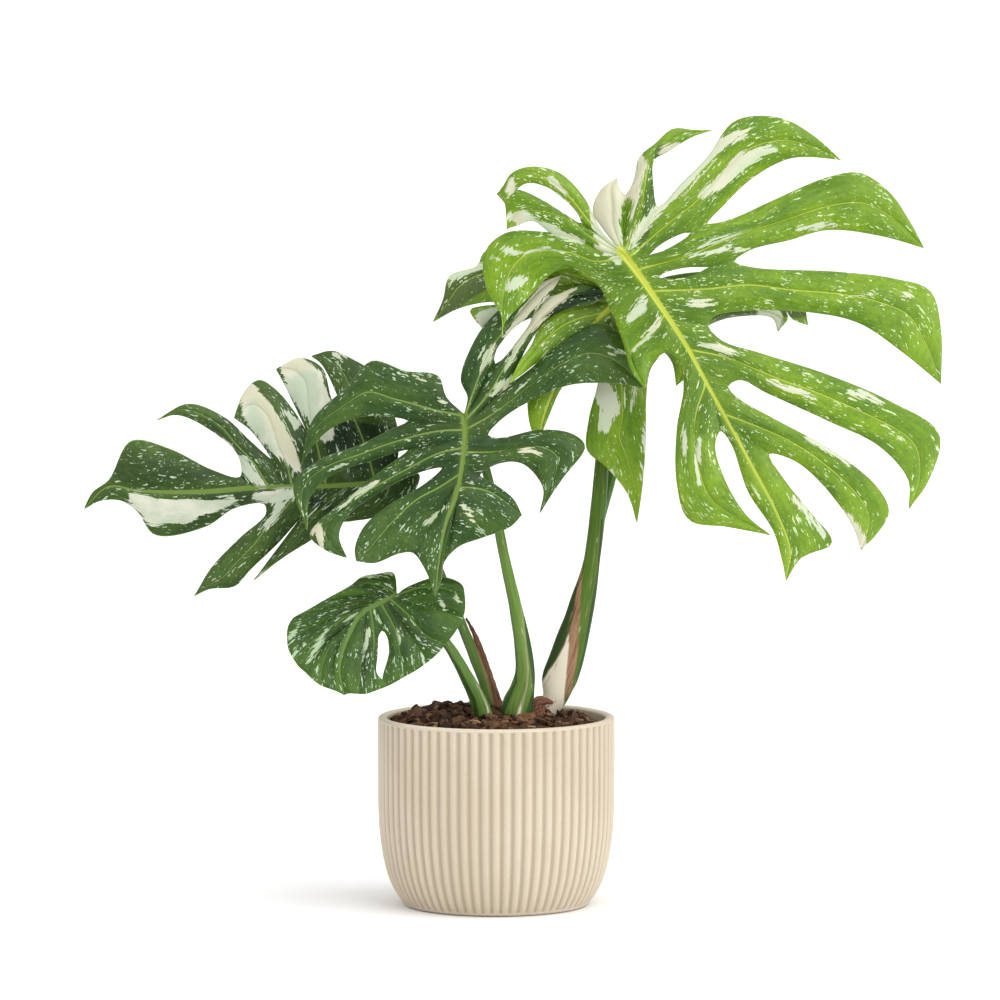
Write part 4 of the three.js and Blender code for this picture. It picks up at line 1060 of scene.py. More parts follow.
@dataclass(frozen=True)
class LeafFinish:
    """Colours and marks of one leaf face.

    Attributes:
        base: The blade's green.
        light: A lighter green that it drifts into.
        deep: The darker green of noise and of the deep green strokes, some of which are painted shade.
        vein: Side veins.
        rib: The midrib.
        cream: Cream tissue.
        mint: Cream tissue with a little green under it.
        beige: A beige cream that the beige strokes lay over the cream.
        fleck: Dashes and dots.
        edge: The thin margin.
        specks: How many small dashes there are, from 0 to 1.
        streaks: How many long streaks there are, from 0 to 1.
        gloss: Roughness.
        shine: Specular level.
        rib_width: The midrib's half width at its foot, in mm.
        seed: Moves the random marks.
    """

    base: Colour
    light: Colour
    deep: Colour
    vein: Colour
    rib: Colour
    cream: Colour = srgb(208, 204, 184)
    mint: Colour = srgb(188, 198, 176)
    beige: Colour = srgb(194, 191, 164)
    fleck: Colour = srgb(178, 196, 168)
    edge: Colour = srgb(200, 215, 160)
    specks: float = 0.5
    streaks: float = 0.3
    gloss: float = 0.36
    shine: float = 0.3
    rib_width: float = 3.1
    seed: float = 0.0

    def material(self, name: str) -> bpy.types.Material:
        """Builds the material.

        Dashes are cells stretched along the side veins; cream patches are the painted strokes with their
        ends torn by noise stretched the same way; veins are thin lines where the way beside a vein is
        near 0.
        """
        g = Graph(name)
        u, v = (axis * FLOW_SCALE for axis in g.map_axes("flow"))
        share, across = g.map_axes("share")
        lobe = g.attribute("lobe")
        along = u + (g.noise((u, v, lobe * 3.7), 0.16, 3.0) - 0.5) * 9
        beside = v + (g.noise((u, v, lobe * 5.1), 0.3) - 0.5) * 3.2

        drift = g.noise((u * 0.02, v * 0.05, lobe * 2.3 + self.seed), 1.0, 3.0)
        mottle = g.noise((u * 0.12, v * 0.45, lobe * 1.9), 1.0, 4.0, 0.65)
        blotch = g.noise((u * 0.3, v * 0.3, lobe * 2.9), 1.0, 3.0, 0.6)
        green = g.layers(
            self.base,
            (drift.rise(0.36, 0.68), self.light),
            (mottle.rise(0.45, 0.7) * 0.45, self.light),
            (mottle.rise(0.55, 0.28) * 0.3, self.deep),
            (blotch.rise(0.56, 0.3) * 0.3, self.deep),
            (share.rise(0.5, 0.05) * 0.4, self.deep),
            (share.rise(0.6, 1.0) * 0.4, self.light),
            # Deep green strokes; some of them are painted shade where another leaf shadows this one.
            (g.attribute("dark").rise(-0.12, 0.12), self.deep),
            (abs(v).rise(4.6, 0.4) * share.rise(0.95, 0.3) * 0.3, self.light),
        )

        crowd = g.noise((along * 0.03, beside * 0.08, lobe * 1.1 + self.seed)).rise(0.3, 0.7)
        marks = crowd * 0
        for kind in LEAF_MARKS:
            cells = crowd * (kind.specks * self.specks + kind.streaks * self.streaks) + kind.least
            marks = marks.either(kind.mask(g, along, beside, lobe * 0.77 + self.seed, cells))

        torn = g.noise((along * 0.05, beside * 0.55, lobe * 4.3 + self.seed), 1.0, 4.0, 0.6)
        cream = (g.attribute("cream") + (torn - 0.5) * 1.7).rise(-0.04, 0.04)
        islands = torn.rise(0.30, 0.27) * cream
        cream = cream * (1 - islands * 0.85)
        minty = g.noise((along * 0.03, beside * 0.05, lobe * 1.7 + self.seed), 1.0, 3.0)
        pale = g.layers(
            self.cream,
            (minty.rise(0.4, 0.56), self.mint),
            (g.attribute("beige").rise(-0.4, 0.6) * 0.9, self.beige),
        )

        thin = share.rise(1.0, 0.0) * 0.85 + 0.2
        line = 1 - (abs(v) / thin).rise(0.4, 1.1)
        forks = self.forks(g, u, v, across)
        rib_share = g.attribute("rib_share")
        rib = g.attribute("rib_away") / ((1 - rib_share).math("POWER", 2.2) * self.rib_width + 0.42)
        colour = g.layers(
            green,
            (marks, self.fleck),
            (cream, pale),
            (line * 0.9 * (1 - cream * 0.75), self.vein),
            (forks * 0.1 * (1 - cream), self.vein),
            (g.attribute("margin").rise(0.6, 1.0) * 0.6, self.edge),
            (rib.rise(3.2, 0.9) * 0.35, self.light),
            (rib.rise(1.35, 0.55) * (1 - rib_share * 0.65), self.rib),
            (rib.rise(0.45, 0.15) * 0.35, self.vein),
        )

        grain = g.noise((u * 0.9, v * 1.2, lobe), 1.0, 4.0, 0.6)
        net = g.noise((u * 0.28, v * 0.5, lobe * 1.3))
        groove = abs(v).rise(0.1, 1.5)
        g.bump(groove * 0.55 + net * 0.75 - forks * 0.2 + grain * 0.12, 0.5, 0.0011)
        rough = self.gloss + (grain - 0.5) * 0.12 + cream * 0.05
        return g.finish(colour, rough, Specular_IOR_Level=self.shine, Specular_Tint=(0.94, 1.0, 0.95))

    @staticmethod
    def forks(g: Graph, u: Value, v: Value, across: Value) -> Value:
        """Fine veins at a slant to the side vein: thin lines where u - 1.2 |v| is a multiple of 11 mm."""
        slant = (u - abs(v) * 1.2 + (g.noise((u, v), 0.12) - 0.5) * 6) / 11
        near = abs(slant.math("FRACT") - 0.5)
        return near.rise(0.055, 0.0) * across.rise(0.95, 0.3)


@dataclass(frozen=True)
class StalkFinish:
    """A stalk's greens and the colours that strokes leave on it.

    Attributes:
        base: The stalk's green.
        light: A lighter green that broad noise mixes in.
        shade: A darker green for streaks and for the deep green strokes, some of which are painted shade.
        cream: Pale lines and the pale foot.
        brown: Dry stripes.
        pith: The paler fibres in a dry stripe.
    """

    base: Colour
    light: Colour
    shade: Colour
    cream: Colour = srgb(238, 228, 206)
    brown: Colour = srgb(120, 74, 50)
    pith: Colour = srgb(176, 132, 104)

    def material(self, name: str) -> bpy.types.Material:
        """Builds the material: noise that changes quickly round the stalk and slowly along it."""
        g = Graph(name)
        cosine, sine, run = g.wrap_axes()
        broad = g.noise((cosine, sine, run * 0.008), 1.6, 3.0, 0.55)
        fine = g.noise((cosine * 6, sine * 6, run * 0.04), 1.0, 4.0, 0.6)
        dots, own, grown = g.cells((cosine * 4, sine * 4, run * 0.12))
        flecks = (grown * 0.25 + 0.06 - dots).rise(-0.03, 0.04) * own.rise(0.86, 0.88)
        tear = (fine - 0.5) * 0.3
        pale = (g.attribute("cream") + tear).rise(-0.3, 0.3)
        dry = g.mix(fine.rise(0.3, 0.6), self.brown, self.pith)
        colour = g.layers(
            self.base,
            (broad.rise(0.3, 0.68), self.light),
            (fine.rise(0.45, 0.75) * 0.4, self.light),
            (fine.rise(0.5, 0.3) * 0.35, self.shade),
            (flecks * 0.35, self.cream),
            # Deep green strokes; on the middle stalk they are painted shade at its edges.
            ((g.attribute("dark") + tear).rise(-0.08, 0.08) * 0.85, self.shade),
            (pale, self.cream),
            ((1 - abs(pale * 2 - 1)) * broad.rise(0.4, 0.6) * 0.5, self.brown),
            ((g.attribute("brown") + tear * 2).rise(-0.3, 0.35) * 0.9, dry),
        )
        g.bump(fine * 0.6 + broad * 0.4, 0.3, 0.0008)
        return g.finish(colour, 0.42 + (fine - 0.5) * 0.15, Specular_IOR_Level=0.3)


@dataclass(frozen=True)
class HuskFinish:
    """Dried sheath: brown, with fibres along it."""

    base: Colour
    light: Colour

    def material(self, name: str) -> bpy.types.Material:
        """Builds the material: fibres are noise stretched along the husk."""
        g = Graph(name)
        cosine, sine, run = g.wrap_axes()
        fibres = g.noise((cosine * 4, sine * 4, run * 0.03), 2.0, 4.0, 0.6)
        colour = g.mix(fibres.rise(0.35, 0.7), self.base, self.light)
        g.bump(fibres, 0.8, 0.001)
        return g.finish(colour, 0.75 + fibres * 0.1)


@dataclass(frozen=True)
class CeramicFinish:
    """Satin beige ceramic with faint grain, and painted shade that darkens the grooves between its ribs."""

    base: Colour = srgb(202, 188, 165)
    light: Colour = srgb(210, 197, 176)
    # The colour of the painted shade in the grooves between the ribs.
    groove: Colour = srgb(166, 150, 126)
    grain: Colour = srgb(176, 160, 136)

    def material(self, name: str) -> bpy.types.Material:
        """Builds the material: a slow drift of tone, fine grain, and painted shade by the mesh's measure of
        its grooves.
        """
        g = Graph(name)
        place = g.place()
        grain = g.noise(place, 900.0, 3.0, 0.6)
        colour = g.layers(
            self.base,
            (g.noise(place, 14.0, 3.0).rise(0.3, 0.7), self.light),
            (grain.rise(0.45, 0.75) * 0.25, self.grain),
            # Painted shade, darkest at the bottom of each groove.
            (g.attribute("groove").rise(0.25, 1.0) * 0.75, self.groove),
        )
        g.bump(grain * 0.5 + g.noise(place, 240.0) * 0.5, 0.25, 0.0004)
        return g.finish(colour, 0.36 + (grain - 0.5) * 0.15, Specular_IOR_Level=0.5)


@dataclass(frozen=True)
class BarkFinish:
    """Bark-based soil: each chip has its own tone."""

    stops: tuple[tuple[float, Colour], ...] = (
        (0.0, srgb(34, 23, 16)), (0.35, srgb(72, 49, 33)),
        (0.7, srgb(110, 78, 54)), (1.0, srgb(158, 122, 90)),
    )

    def material(self, name: str) -> bpy.types.Material:
        """Builds the material: the chip's tone with coarse and fine noise on it."""
        g = Graph(name)
        place = g.place()
        rough = g.noise(place, 320.0, 5.0, 0.7)
        tone = g.attribute("tone") + (rough - 0.5) * 0.9
        ramp = g.node("ShaderNodeValToRGB", {"stops": self.stops}, {"Fac": tone})
        g.bump(rough + g.noise(place, 1100.0, 3.0) * 0.4, 0.9, 0.0012)
        return g.finish(ramp.outputs["Color"], 0.9, Specular_IOR_Level=0.25)


# ---------------------------------------------------------------- stalks and husks


Station = tuple[float, float, float, float, float]

SHEATH_EDGES = (-0.62, -2.52)  # the turns round a stalk at which its sheath's edges stand out


@dataclass(frozen=True)
class Section:
    """How a stalk's section departs from an oval.

    Attributes:
        flange: How far the sheath's two edges stand out at its widest, in mm.
        flange_from: The share of the length where the sheath begins.
        flange_to: The share where it has died away.
        groove: How deep the channel on the upper side is, in mm.
        wrinkle: How much the surface wrinkles along the stalk, in mm.
    """

    flange: float = 0.0
    flange_from: float = 0.0
    flange_to: float = 0.3
    groove: float = 0.3
    wrinkle: float = 0.12

    def relief(self, angle: Array, share: Array) -> Array:
        """How far the surface stands out from the oval: the sheath's edges, the channel and wrinkles.

        Args:
            angle: (1, sides) turns round the stalk; -pi / 2 faces the viewer.
            share: (rings, 1) shares of its length.

        Returns:
            (rings, sides) metres.
        """
        sheath = smooth_step(self.flange_from - 0.04, self.flange_from + 0.06, share) * self.flange
        sheath = sheath * (1 - smooth_step(self.flange_to * 0.55, self.flange_to, share))
        edge = sum(self.peak(angle, side, 0.2) for side in SHEATH_EDGES)
        channel = self.peak(angle, -math.pi / 2, 0.55) * smooth_step(0.02, 0.1, share)
        wrinkle = np.sin(angle * 9 + 3 * np.sin(share * 7)) * np.sin(share * 40 + angle * 2) * self.wrinkle
        return (sheath * edge - channel * (sheath * 0.5 + self.groove) + wrinkle) * MM

    @staticmethod
    def peak(angle: Array, centre: float, width: float) -> Array:
        """A bell curve of 1 at a centre angle."""
        turn = (angle - centre + math.pi) % (2 * math.pi) - math.pi
        return np.exp(-((turn / width) ** 2))


@dataclass(frozen=True)
class Stalk:
    """A leaf's stalk or a dry husk: stations of (x, y, depth, half width, half depth) from its foot up.

    Attributes:
        node: The solid that it replaces.
        stations: Points on the view with their depth and half sizes in mm.
        section: How the section departs from an oval.
        foot_radius: Its radius where it meets its blade, in mm.
        strokes: Cream, deep green and brown strokes on it, as seen on the view; some deep green ones are
            painted shade.
        steps_behind: How far behind the blade its last stations lie, in mm.
        sides: Points round it.
        rings: Rings along it.
    """

    node: str
    stations: list[Station]
    section: Section = Section()
    foot_radius: float = 1.8
    strokes: Strokes = field(default_factory=dict)
    steps_behind: tuple[float, ...] = (8.0, 4.0, 0.9)
    sides: int = 40
    rings: int = 220

    def blade_foot(self, leaf: LeafShape) -> tuple[Array, Array]:
        """Where the stalk enters its blade, and the way straight behind the blade there, in metres."""
        x, y = leaf.midrib[0]
        next_x, next_y = smooth_line(leaf.midrib, steps=16)[6]
        step_x, step_y = next_x - x, next_y - y
        xy = np.array([[x, y], [next_x, next_y], [x + step_y, y - step_x], [x - step_y, y + step_x]])
        root, ahead, one, other = SIGHT.seen_at(xy, leaf.depth(xy))
        along = (ahead - root) / np.linalg.norm(ahead - root)
        aside = (one - other) / np.linalg.norm(one - other)
        behind = np.cross(along, aside)
        behind *= np.sign(behind[1]) / np.linalg.norm(behind)
        return (root + ahead) / 2, behind

    def build(self, leaf: LeafShape | None) -> bpy.types.Object:
        """Carries an oval section along the smooth line through the stations.

        The section's point at angle a is cos a * half width across and sin a * half depth behind, plus the
        sheath's edges, which stand out as narrow peaks at two angles on the front.

        Args:
            leaf: The blade that it carries, if any.

        Returns:
            The object.
        """
        s = np.array(self.stations, float)
        at = SIGHT.seen_at(s[:, :2], s[:, 2])
        half = s[:, 3:5] * MM
        if leaf is not None:
            foot, behind = self.blade_foot(leaf)
            at = np.vstack([at] + [foot + behind * step * MM for step in self.steps_behind])
            half = np.vstack([half, np.full((len(self.steps_behind), 2), self.foot_radius * MM)])
        line = smooth_line(at)
        run = run_length(line)
        place = np.linspace(0, 1, self.rings) * run[-1]
        centre = np.stack([np.interp(place, run, line[:, k]) for k in range(3)], axis=1)
        spans = np.linspace(0, len(at) - 1, len(line))
        at_span = np.interp(place, run, spans)
        size = np.stack([np.interp(at_span, np.arange(len(at)), half[:, k]) for k in range(2)], axis=1)
        size = self.soften(size)
        forward = np.gradient(centre, axis=0)
        forward /= np.linalg.norm(forward, axis=1, keepdims=True)
        across = np.cross([0.0, -1.0, 0.0], forward)
        across /= np.linalg.norm(across, axis=1, keepdims=True)
        behind_it = np.cross(forward, across)
        angle = np.linspace(0, 2 * math.pi, self.sides + 1)[None]
        out = self.section.relief(angle, (place / run[-1])[:, None])
        wide = np.cos(angle) * (size[:, :1] + out)
        deep = np.sin(angle) * (size[:, 1:] + out)
        points = centre[:, None] + across[:, None] * wide[..., None] + behind_it[:, None] * deep[..., None]
        name = self.node.replace("stalk", "petiole").replace("dry", "dried")
        return tube(name, points, place, self.strokes)

    @staticmethod
    def soften(size: Array) -> Array:
        """Sizes averaged over neighbouring rings, so that the outline has no corners."""
        kernel = np.ones(9) / 9
        padded = np.pad(size, ((4, 4), (0, 0)), mode="edge")
        return np.stack([np.convolve(padded[:, k], kernel, mode="valid") for k in range(2)], axis=1)


def tube(name: str, points: Array, place: Array, strokes: Strokes) -> bpy.types.Object:
    """A closed tube from rings of points.

    Args:
        name: The object's name.
        points: (rings, sides + 1, 3) points; the last of each ring repeats its first.
        place: (rings,) how far along the tube each ring lies, in metres.
        strokes: Strokes that colour it as seen on the view.

    Returns:
        The object, with the map "wrap" of (share round it, metres along it).
    """
    rings, sides = points.shape[0], points.shape[1] - 1
    ends = np.stack([points[0, :-1].mean(axis=0), points[-1, :-1].mean(axis=0)])
    vertices = np.vstack([points[:, :-1].reshape(-1, 3), ends])
    turns, runs = np.broadcast_arrays(np.linspace(0, 1, sides + 1)[None], place[:, None])
    wrap = np.stack([turns, runs], axis=-1).reshape(-1, 2)
    wall = wrap[grid_faces(np.arange(len(wrap)).reshape(rings, sides + 1))]
    fans = np.zeros((2, sides * 3, 2))
    fans[:, :, 1] = place[[0, -1], None]
    mesh = MeshMaker(name, vertices, ring_faces(rings, sides))
    mesh.corner_map("wrap", np.vstack([wall.reshape(-1, 2), fans.reshape(-1, 2)]))
    mesh.paint(SIGHT.view_of(vertices), strokes, STALK_REACH, Paint.CREAM, Paint.DARK, Paint.BROWN)
    return mesh.object()


# ---------------------------------------------------------------- pot


@dataclass(frozen=True)
class Pot:
    """The ribbed pot, in mm: a profile turned round Z, with soft ribs below a plain rim band."""

    width: float = 170.0
    height: float = 136.0
    base_radius: float = 66.0
    wall: float = 7.0
    floor: float = 9.0
    ribs: int = 68
    relief: float = 1.5
    rim_band: float = 1.4
    rib_steps: int = 14
    foot_height: float = 3.0
    foot_inset: float = 3.5
    lip_height: float = 2.4
    belly: tuple[tuple[float, float], ...] = (
        (2.6, 67.5), (5.8, 70.2), (14.2, 75.0), (26.2, 79.4), (38.2, 81.9), (52.0, 83.7), (68.7, 84.7),
        (94.0, 85.0), (136.0, 85.0),
    )

    def outside(self, z: Array | float) -> Array:
        """The outer radius at a height, on a smooth line through the belly's (height, radius) points."""
        line = smooth_line(list(self.belly))
        return np.interp(z, line[:, 0], line[:, 1])

    def build(self) -> bpy.types.Object:
        """Makes the closed mesh: from the base's centre up the outside, over the rim and down inside."""
        full = self.width / 2
        round_base = np.linspace(0, math.pi / 2, 8)
        base_z = self.foot_height * (1 - np.cos(round_base))
        foot_r = self.base_radius - self.foot_inset
        base_r = foot_r + (self.outside(self.foot_height) - foot_r) * np.sin(round_base)
        band = self.height - self.rim_band
        wall_z = np.concatenate([np.linspace(3.8, 60, 30), np.linspace(64, band - 3, 14)])
        upper_z = np.linspace(band - 2.6, self.height - 2.5, 9)
        turn = np.linspace(0, math.pi, 15)
        lip = self.wall / 2
        lip_r = full - lip + lip * np.cos(turn)
        lip_z = self.height - self.lip_height * (1 - np.sin(turn))
        down = np.array([6, 14, 40, self.height - 23, self.height - 13, self.height - 9, self.height - 9])
        inner_z = self.height - down
        inner_r = full - self.wall - np.array([0, 0.3, 2, 8, 13, 22, full - self.wall - 1])
        under_r = np.array([1.0, self.base_radius - 9, self.base_radius - 6.5, self.base_radius - 5])
        under_z = np.array([1.4, 1.4, 1.0, 0.0])
        z = np.concatenate([under_z, base_z, wall_z, upper_z, lip_z, inner_z])
        upper_r = np.full(len(upper_z), full)
        r = np.concatenate([under_r, base_r, self.outside(wall_z), upper_r, lip_r, inner_r])
        ribbed = smooth_step(0.6, 4.0, z) * (1 - smooth_step(band - 2.2, band, z))
        ribbed[len(z) - len(inner_z) - len(lip_z) + 7 :] = 0
        ribbed[: len(under_z)] = 0
        angle = np.linspace(0, 2 * math.pi, self.ribs * self.rib_steps + 1)[:-1][None]
        crest = (0.5 + 0.5 * np.cos(angle * self.ribs)) ** 0.8
        foot = smooth_step(0.6, 10.0, z)[:, None] * 0.4 + 0.6
        radius = r[:, None] - self.relief * ribbed[:, None] * foot * (1 - crest)
        points = np.stack([radius * np.cos(angle), radius * np.sin(angle), z[:, None] + 0 * angle], axis=-1)
        rings, sides = points.shape[:2]
        vertices = np.vstack([points.reshape(-1, 3), [[0, 0, under_z[0]], [0, 0, self.floor]]]) * MM
        mesh = MeshMaker("ribbed_pot", vertices, ring_faces(rings, sides))
        # How deep in a groove each point lies, which the ceramic's painted shade follows.
        mesh.value("groove", np.append((ribbed[:, None] * (1 - crest)).ravel(), [0, 0]))
        return mesh.object()


# ---------------------------------------------------------------- soil


@dataclass(frozen=True)
class Soil:
    """Bark chips heaped on a mound, in mm.

    Attributes:
        edge: The soil's height at the wall.
        mound: How much higher it is at the crown.
        radius: The pot's inner radius there.
        centre: Where the crown is.
        depth: How far down the bed's skirt goes.
        chips: How many chips there are.
        smallest: The smallest chip's length.
        largest: The largest chip's length.
    """

    edge: float = 126.5
    mound: float = 11.0
    radius: float = 76.5
    centre: tuple[float, float] = (-8.0, 12.0)
    depth: float = 60.0
    chips: int = 2200
    smallest: float = 2.6
    largest: float = 15.0

    def height(self, x: Array | float, y: Array | float) -> Array:
        """The mound's height: edge + mound * (1 - (way from the crown / radius)^2), with slow bumps."""
        reach = np.hypot(x - self.centre[0], y - self.centre[1]) / (self.radius + 10)
        bumps = 1.3 * np.sin(x * 0.17 + 1) * np.cos(y * 0.21) + 0.8 * np.sin(x * 0.4 - y * 0.33)
        return self.edge + self.mound * np.maximum(0, 1 - reach**2) + bumps * np.maximum(0, 1 - reach**4)

    def bed(self) -> tuple[Array, Array, Array]:
        """The crumbly surface under the chips, on rings and turns, closed by a skirt and a bottom."""
        turns, circles = 180, 52
        angle = np.linspace(0, 2 * math.pi, turns + 1)[:-1][None]
        radius = (np.linspace(0, 1, circles + 1)[1:] ** 0.9 * self.radius)[:, None]
        x, y = radius * np.cos(angle), radius * np.sin(angle)
        rng = np.random.default_rng(SEED)
        crumbs = rng.normal(0, 0.55, x.shape)
        top = np.stack([x, y, self.height(x, y) - 1.5 + crumbs], axis=-1)
        bottom = self.edge - self.depth
        skirt = np.stack([x[-1] * 0.93, y[-1] * 0.93, np.full(turns, bottom)], axis=-1)[None]
        middles = [[0, 0, self.height(0.0, 0.0) - 1.5], [0, 0, bottom]]
        vertices = np.vstack([np.vstack([top, skirt]).reshape(-1, 3), middles])
        return vertices, ring_faces(circles + 1, turns)[:, ::-1], np.full(len(vertices), 0.1)

    def chip_field(self) -> tuple[Array, Array, Array]:
        """All chips in one set of arrays: each a jagged block, stretched, turned and laid on the mound."""
        rng = np.random.default_rng(SEED + 1)
        corners, faces = block()
        n = self.chips
        angle = rng.uniform(0, 2 * math.pi, n)
        size = self.smallest + (self.largest - self.smallest) * rng.uniform(0, 1, n) ** 2.4
        radius = np.sqrt(rng.uniform(0, 1, n)) * (self.radius + 1.0 - size * 0.46)
        x, y = radius * np.cos(angle), radius * np.sin(angle)
        stretch = np.stack([np.ones(n), rng.uniform(0.45, 0.8, n), rng.uniform(0.2, 0.48, n)], axis=1)
        shape = corners[None] * (1 + rng.uniform(-0.42, 0.1, (n, len(corners), 3)))
        shape = shape * stretch[:, None] * (size / 2)[:, None, None]
        turns = turns_of(rng.uniform(0, 2 * math.pi, n), rng.normal(0, 0.42, n), rng.normal(0, 0.42, n))
        turned = np.einsum("nij,nvj->nvi", turns, shape)
        lift = self.height(x, y) + size * rng.uniform(-0.1, 0.2, n)
        points = turned + np.stack([x, y, lift], axis=1)[:, None]
        offsets = (np.arange(n) * len(corners))[:, None, None]
        tone = np.clip(rng.normal(0.4, 0.27, n), 0.02, 1)
        return points.reshape(-1, 3), (faces[None] + offsets).reshape(-1, 3), np.repeat(tone, len(corners))

    def build(self) -> bpy.types.Object:
        """Makes the bed and the chips as one flat-shaded piece."""
        bed, bed_faces, bed_tone = self.bed()
        chips, chip_faces, chip_tone = self.chip_field()
        points = np.vstack([bed, chips]) * MM
        faces = np.vstack([bed_faces, chip_faces + len(bed)])
        mesh = MeshMaker("bark_soil", points, faces, smooth=False)
        mesh.value("tone", np.concatenate([bed_tone, chip_tone]))
        return mesh.object()


def block() -> tuple[Array, Array]:
    """A block of 26 corners, from -1 to 1, with each side cut into four squares of two triangles."""
    steps = np.array([-1.0, 0.0, 1.0])
    grid = np.stack(np.meshgrid(steps, steps, steps, indexing="ij"), axis=-1).reshape(-1, 3)
    number = np.arange(27).reshape(3, 3, 3)
    faces = []
    for axis in range(3):
        for end in (0, 2):
            outward = -1 if (end == 2) == (axis != 1) else 1
            faces.append(grid_faces(np.take(number, end, axis=axis))[:, ::outward])
    bulge = grid / np.maximum(np.linalg.norm(grid, axis=1, keepdims=True), 1e-9) ** 0.45
    return bulge, np.vstack(faces)


def turns_of(about_z: Array, about_y: Array, about_x: Array) -> Array:
    """(n, 3, 3) rotations about Z, then Y, then X."""
    def stack(rows: list[list[Array]]) -> Array:
        return np.stack([np.stack(row, axis=-1) for row in rows], axis=-2)

    one, zero = np.ones_like(about_z), np.zeros_like(about_z)
    cz, sz, cy, sy, cx, sx = (f(a) for a in (about_z, about_y, about_x) for f in (np.cos, np.sin))
    turn_z = stack([[cz, -sz, zero], [sz, cz, zero], [zero, zero, one]])
    turn_y = stack([[cy, zero, sy], [zero, one, zero], [-sy, zero, cy]])
    turn_x = stack([[one, zero, zero], [zero, cx, -sx], [zero, sx, cx]])
    return turn_z @ turn_y @ turn_x


# ---------------------------------------------------------------- the plant's parts


TOP_STROKES = {
    Paint.CREAM: [
        [(606, 186, 16), (606, 215, 17), (612, 246, 12)],
        [(632, 165, 14), (628, 195, 12), (622, 225, 8), (618, 262, 3)],
        [(658, 153, 1), (668, 148, 3), (677, 143, 1)],
        [(630, 246, 3), (642, 228, 6), (656, 212, 6), (672, 196, 5), (690, 176, 7), (706, 156, 8),
         (724, 142, 6), (744, 134, 3)],
        [(702, 196, 3), (722, 180, 7), (744, 160, 8), (775, 148, 3)],
        [(700, 247, 1), (724, 239, 2.5), (752, 229, 0.5)],
        [(690, 256, 1.5), (712, 252, 3), (738, 247, 2)],
        [(794, 229, 1), (815, 226, 3), (834, 224, 2)],
        [(845, 298, 1), (874, 294, 1.5)],
        [(896, 297, 2), (912, 296, 2)],
        [(690, 304, 3), (700, 303, 4), (711, 303, 3)],
        [(698, 344, 1.5), (716, 348, 4), (738, 353, 1.5)],
        [(768, 383, 1), (792, 390, 2.5), (815, 399, 2)],
        [(850, 392, 3), (868, 396, 4), (884, 404, 1.5)],
        [(806, 438, 2), (828, 448, 4), (849, 464, 2)],
        [(814, 482, 2), (836, 508, 4), (850, 522, 6), (864, 545, 5)],
        [(795, 498, 3), (812, 522, 3), (824, 536, 2)],
        [(681, 425, 2), (685, 440, 3), (684, 453, 2)],
        [(699, 440, 1.5), (697, 462, 1.5), (699, 484, 1.5)],
        [(503, 249, 2), (510, 251, 4), (519, 254, 2)],
        [(492, 258, 1.5), (497, 260, 2.5)],
        [(507, 289, 3), (514, 284, 6), (524, 279, 3)],
        [(526, 252, 1.5), (546, 247, 1.5), (566, 253, 1)],
        [(549, 176, 2), (556, 184, 4.5), (566, 195, 2)],
        [(512, 180, 3), (510, 190, 4)],
        [(510, 216, 4), (522, 218, 7), (540, 224, 5), (562, 234, 4), (582, 242, 3)],
        [(596, 247, 1.5), (606, 251, 2)],
        [(645, 298, 2), (641, 308, 5), (630, 318, 4)],
        [(657, 312, 1), (658, 324, 2.5), (646, 338, 3), (634, 350, 1.5)],
    ],
    Paint.GREEN: [
        [(628, 203, 5), (626, 222, 6), (627, 244, 4)],
    ],
    Paint.DARK: [
        [(660, 148, 3), (653, 168, 4), (650, 200, 5.5), (643, 246, 4)],
    ],
    Paint.BEIGE: [
        [(608, 180, 12), (604, 214, 12), (612, 235, 8)],
        [(676, 140, 8), (650, 158, 9), (634, 190, 12), (624, 214, 10)],
        [(868, 520, 9), (864, 546, 10)],
        [(520, 210, 6), (512, 232, 8)],
    ],
}

BACK_STROKES = {
    Paint.CREAM: [
        [(590, 380, 8), (604, 392, 10), (610, 408, 9), (604, 428, 5)],
        [(631, 409, 1.5), (635, 389, 2)],
        [(643, 479, 1.5), (646, 424, 2)],
        [(612, 470, 1.5), (618, 488, 1)],
        [(452, 278, 3), (468, 270, 5), (484, 266, 4)],
        [(484, 318, 8), (500, 314, 8), (520, 312, 6)],
        [(760, 312, 3), (776, 314, 5), (780, 328, 4)],
    ],
    Paint.DARK: [
        [(442, 306, 12), (462, 288, 14), (486, 276, 12)],
        [(716, 318, 4), (760, 310, 5), (802, 312, 6)],
    ],
}

MIDDLE_STROKES = {
    Paint.CREAM: [
        [(340, 508, 0.5), (358, 493, 2.2), (377, 481, 1.5)],
        [(309, 532, 4), (318, 528, 4), (322, 548, 3)],
        [(422, 527, 0.5), (434, 517, 3), (445, 507, 0.5)],
        [(463, 505, 1.5), (469, 513, 3), (474, 522, 0.5)],
        [(519, 451, 1), (530, 451, 2.5), (542, 454, 1)],
        [(555, 443, 1)],
        [(611, 354, 2), (620, 352, 3), (628, 355, 1)],
        [(491, 396, 1.5), (500, 387, 4), (510, 379, 3)],
        [(414, 376, 1.5), (423, 382, 1.5)],
        [(438, 398, 1), (445, 404, 1.5)],
        [(496, 360, 1), (508, 334, 3), (525, 311, 4.5), (543, 292, 7), (557, 277, 6)],
        [(506, 368, 1), (516, 348, 2.5), (529, 330, 4), (547, 307, 6), (561, 296, 6), (574, 290, 2)],
        [(480, 374, 1.5), (487, 358, 4), (494, 345, 2.5)],
    ],
    Paint.GREEN: [
        [(551, 292, 3), (560, 287, 2)],
    ],
    # The deep green stroke is painted shade on the end of the second right lobe, where the top leaf's lobes
    # shadow it.
    Paint.DARK: [
        [(541, 324, 2), (556, 310, 4), (578, 298, 5), (600, 293, 7)],
    ],
    Paint.BEIGE: [
        [(556, 277, 12), (536, 300, 8), (520, 318, 5)],
        [(566, 293, 12), (548, 307, 9), (530, 329, 6)],
        [(312, 526, 10), (322, 550, 9)],
    ],
}

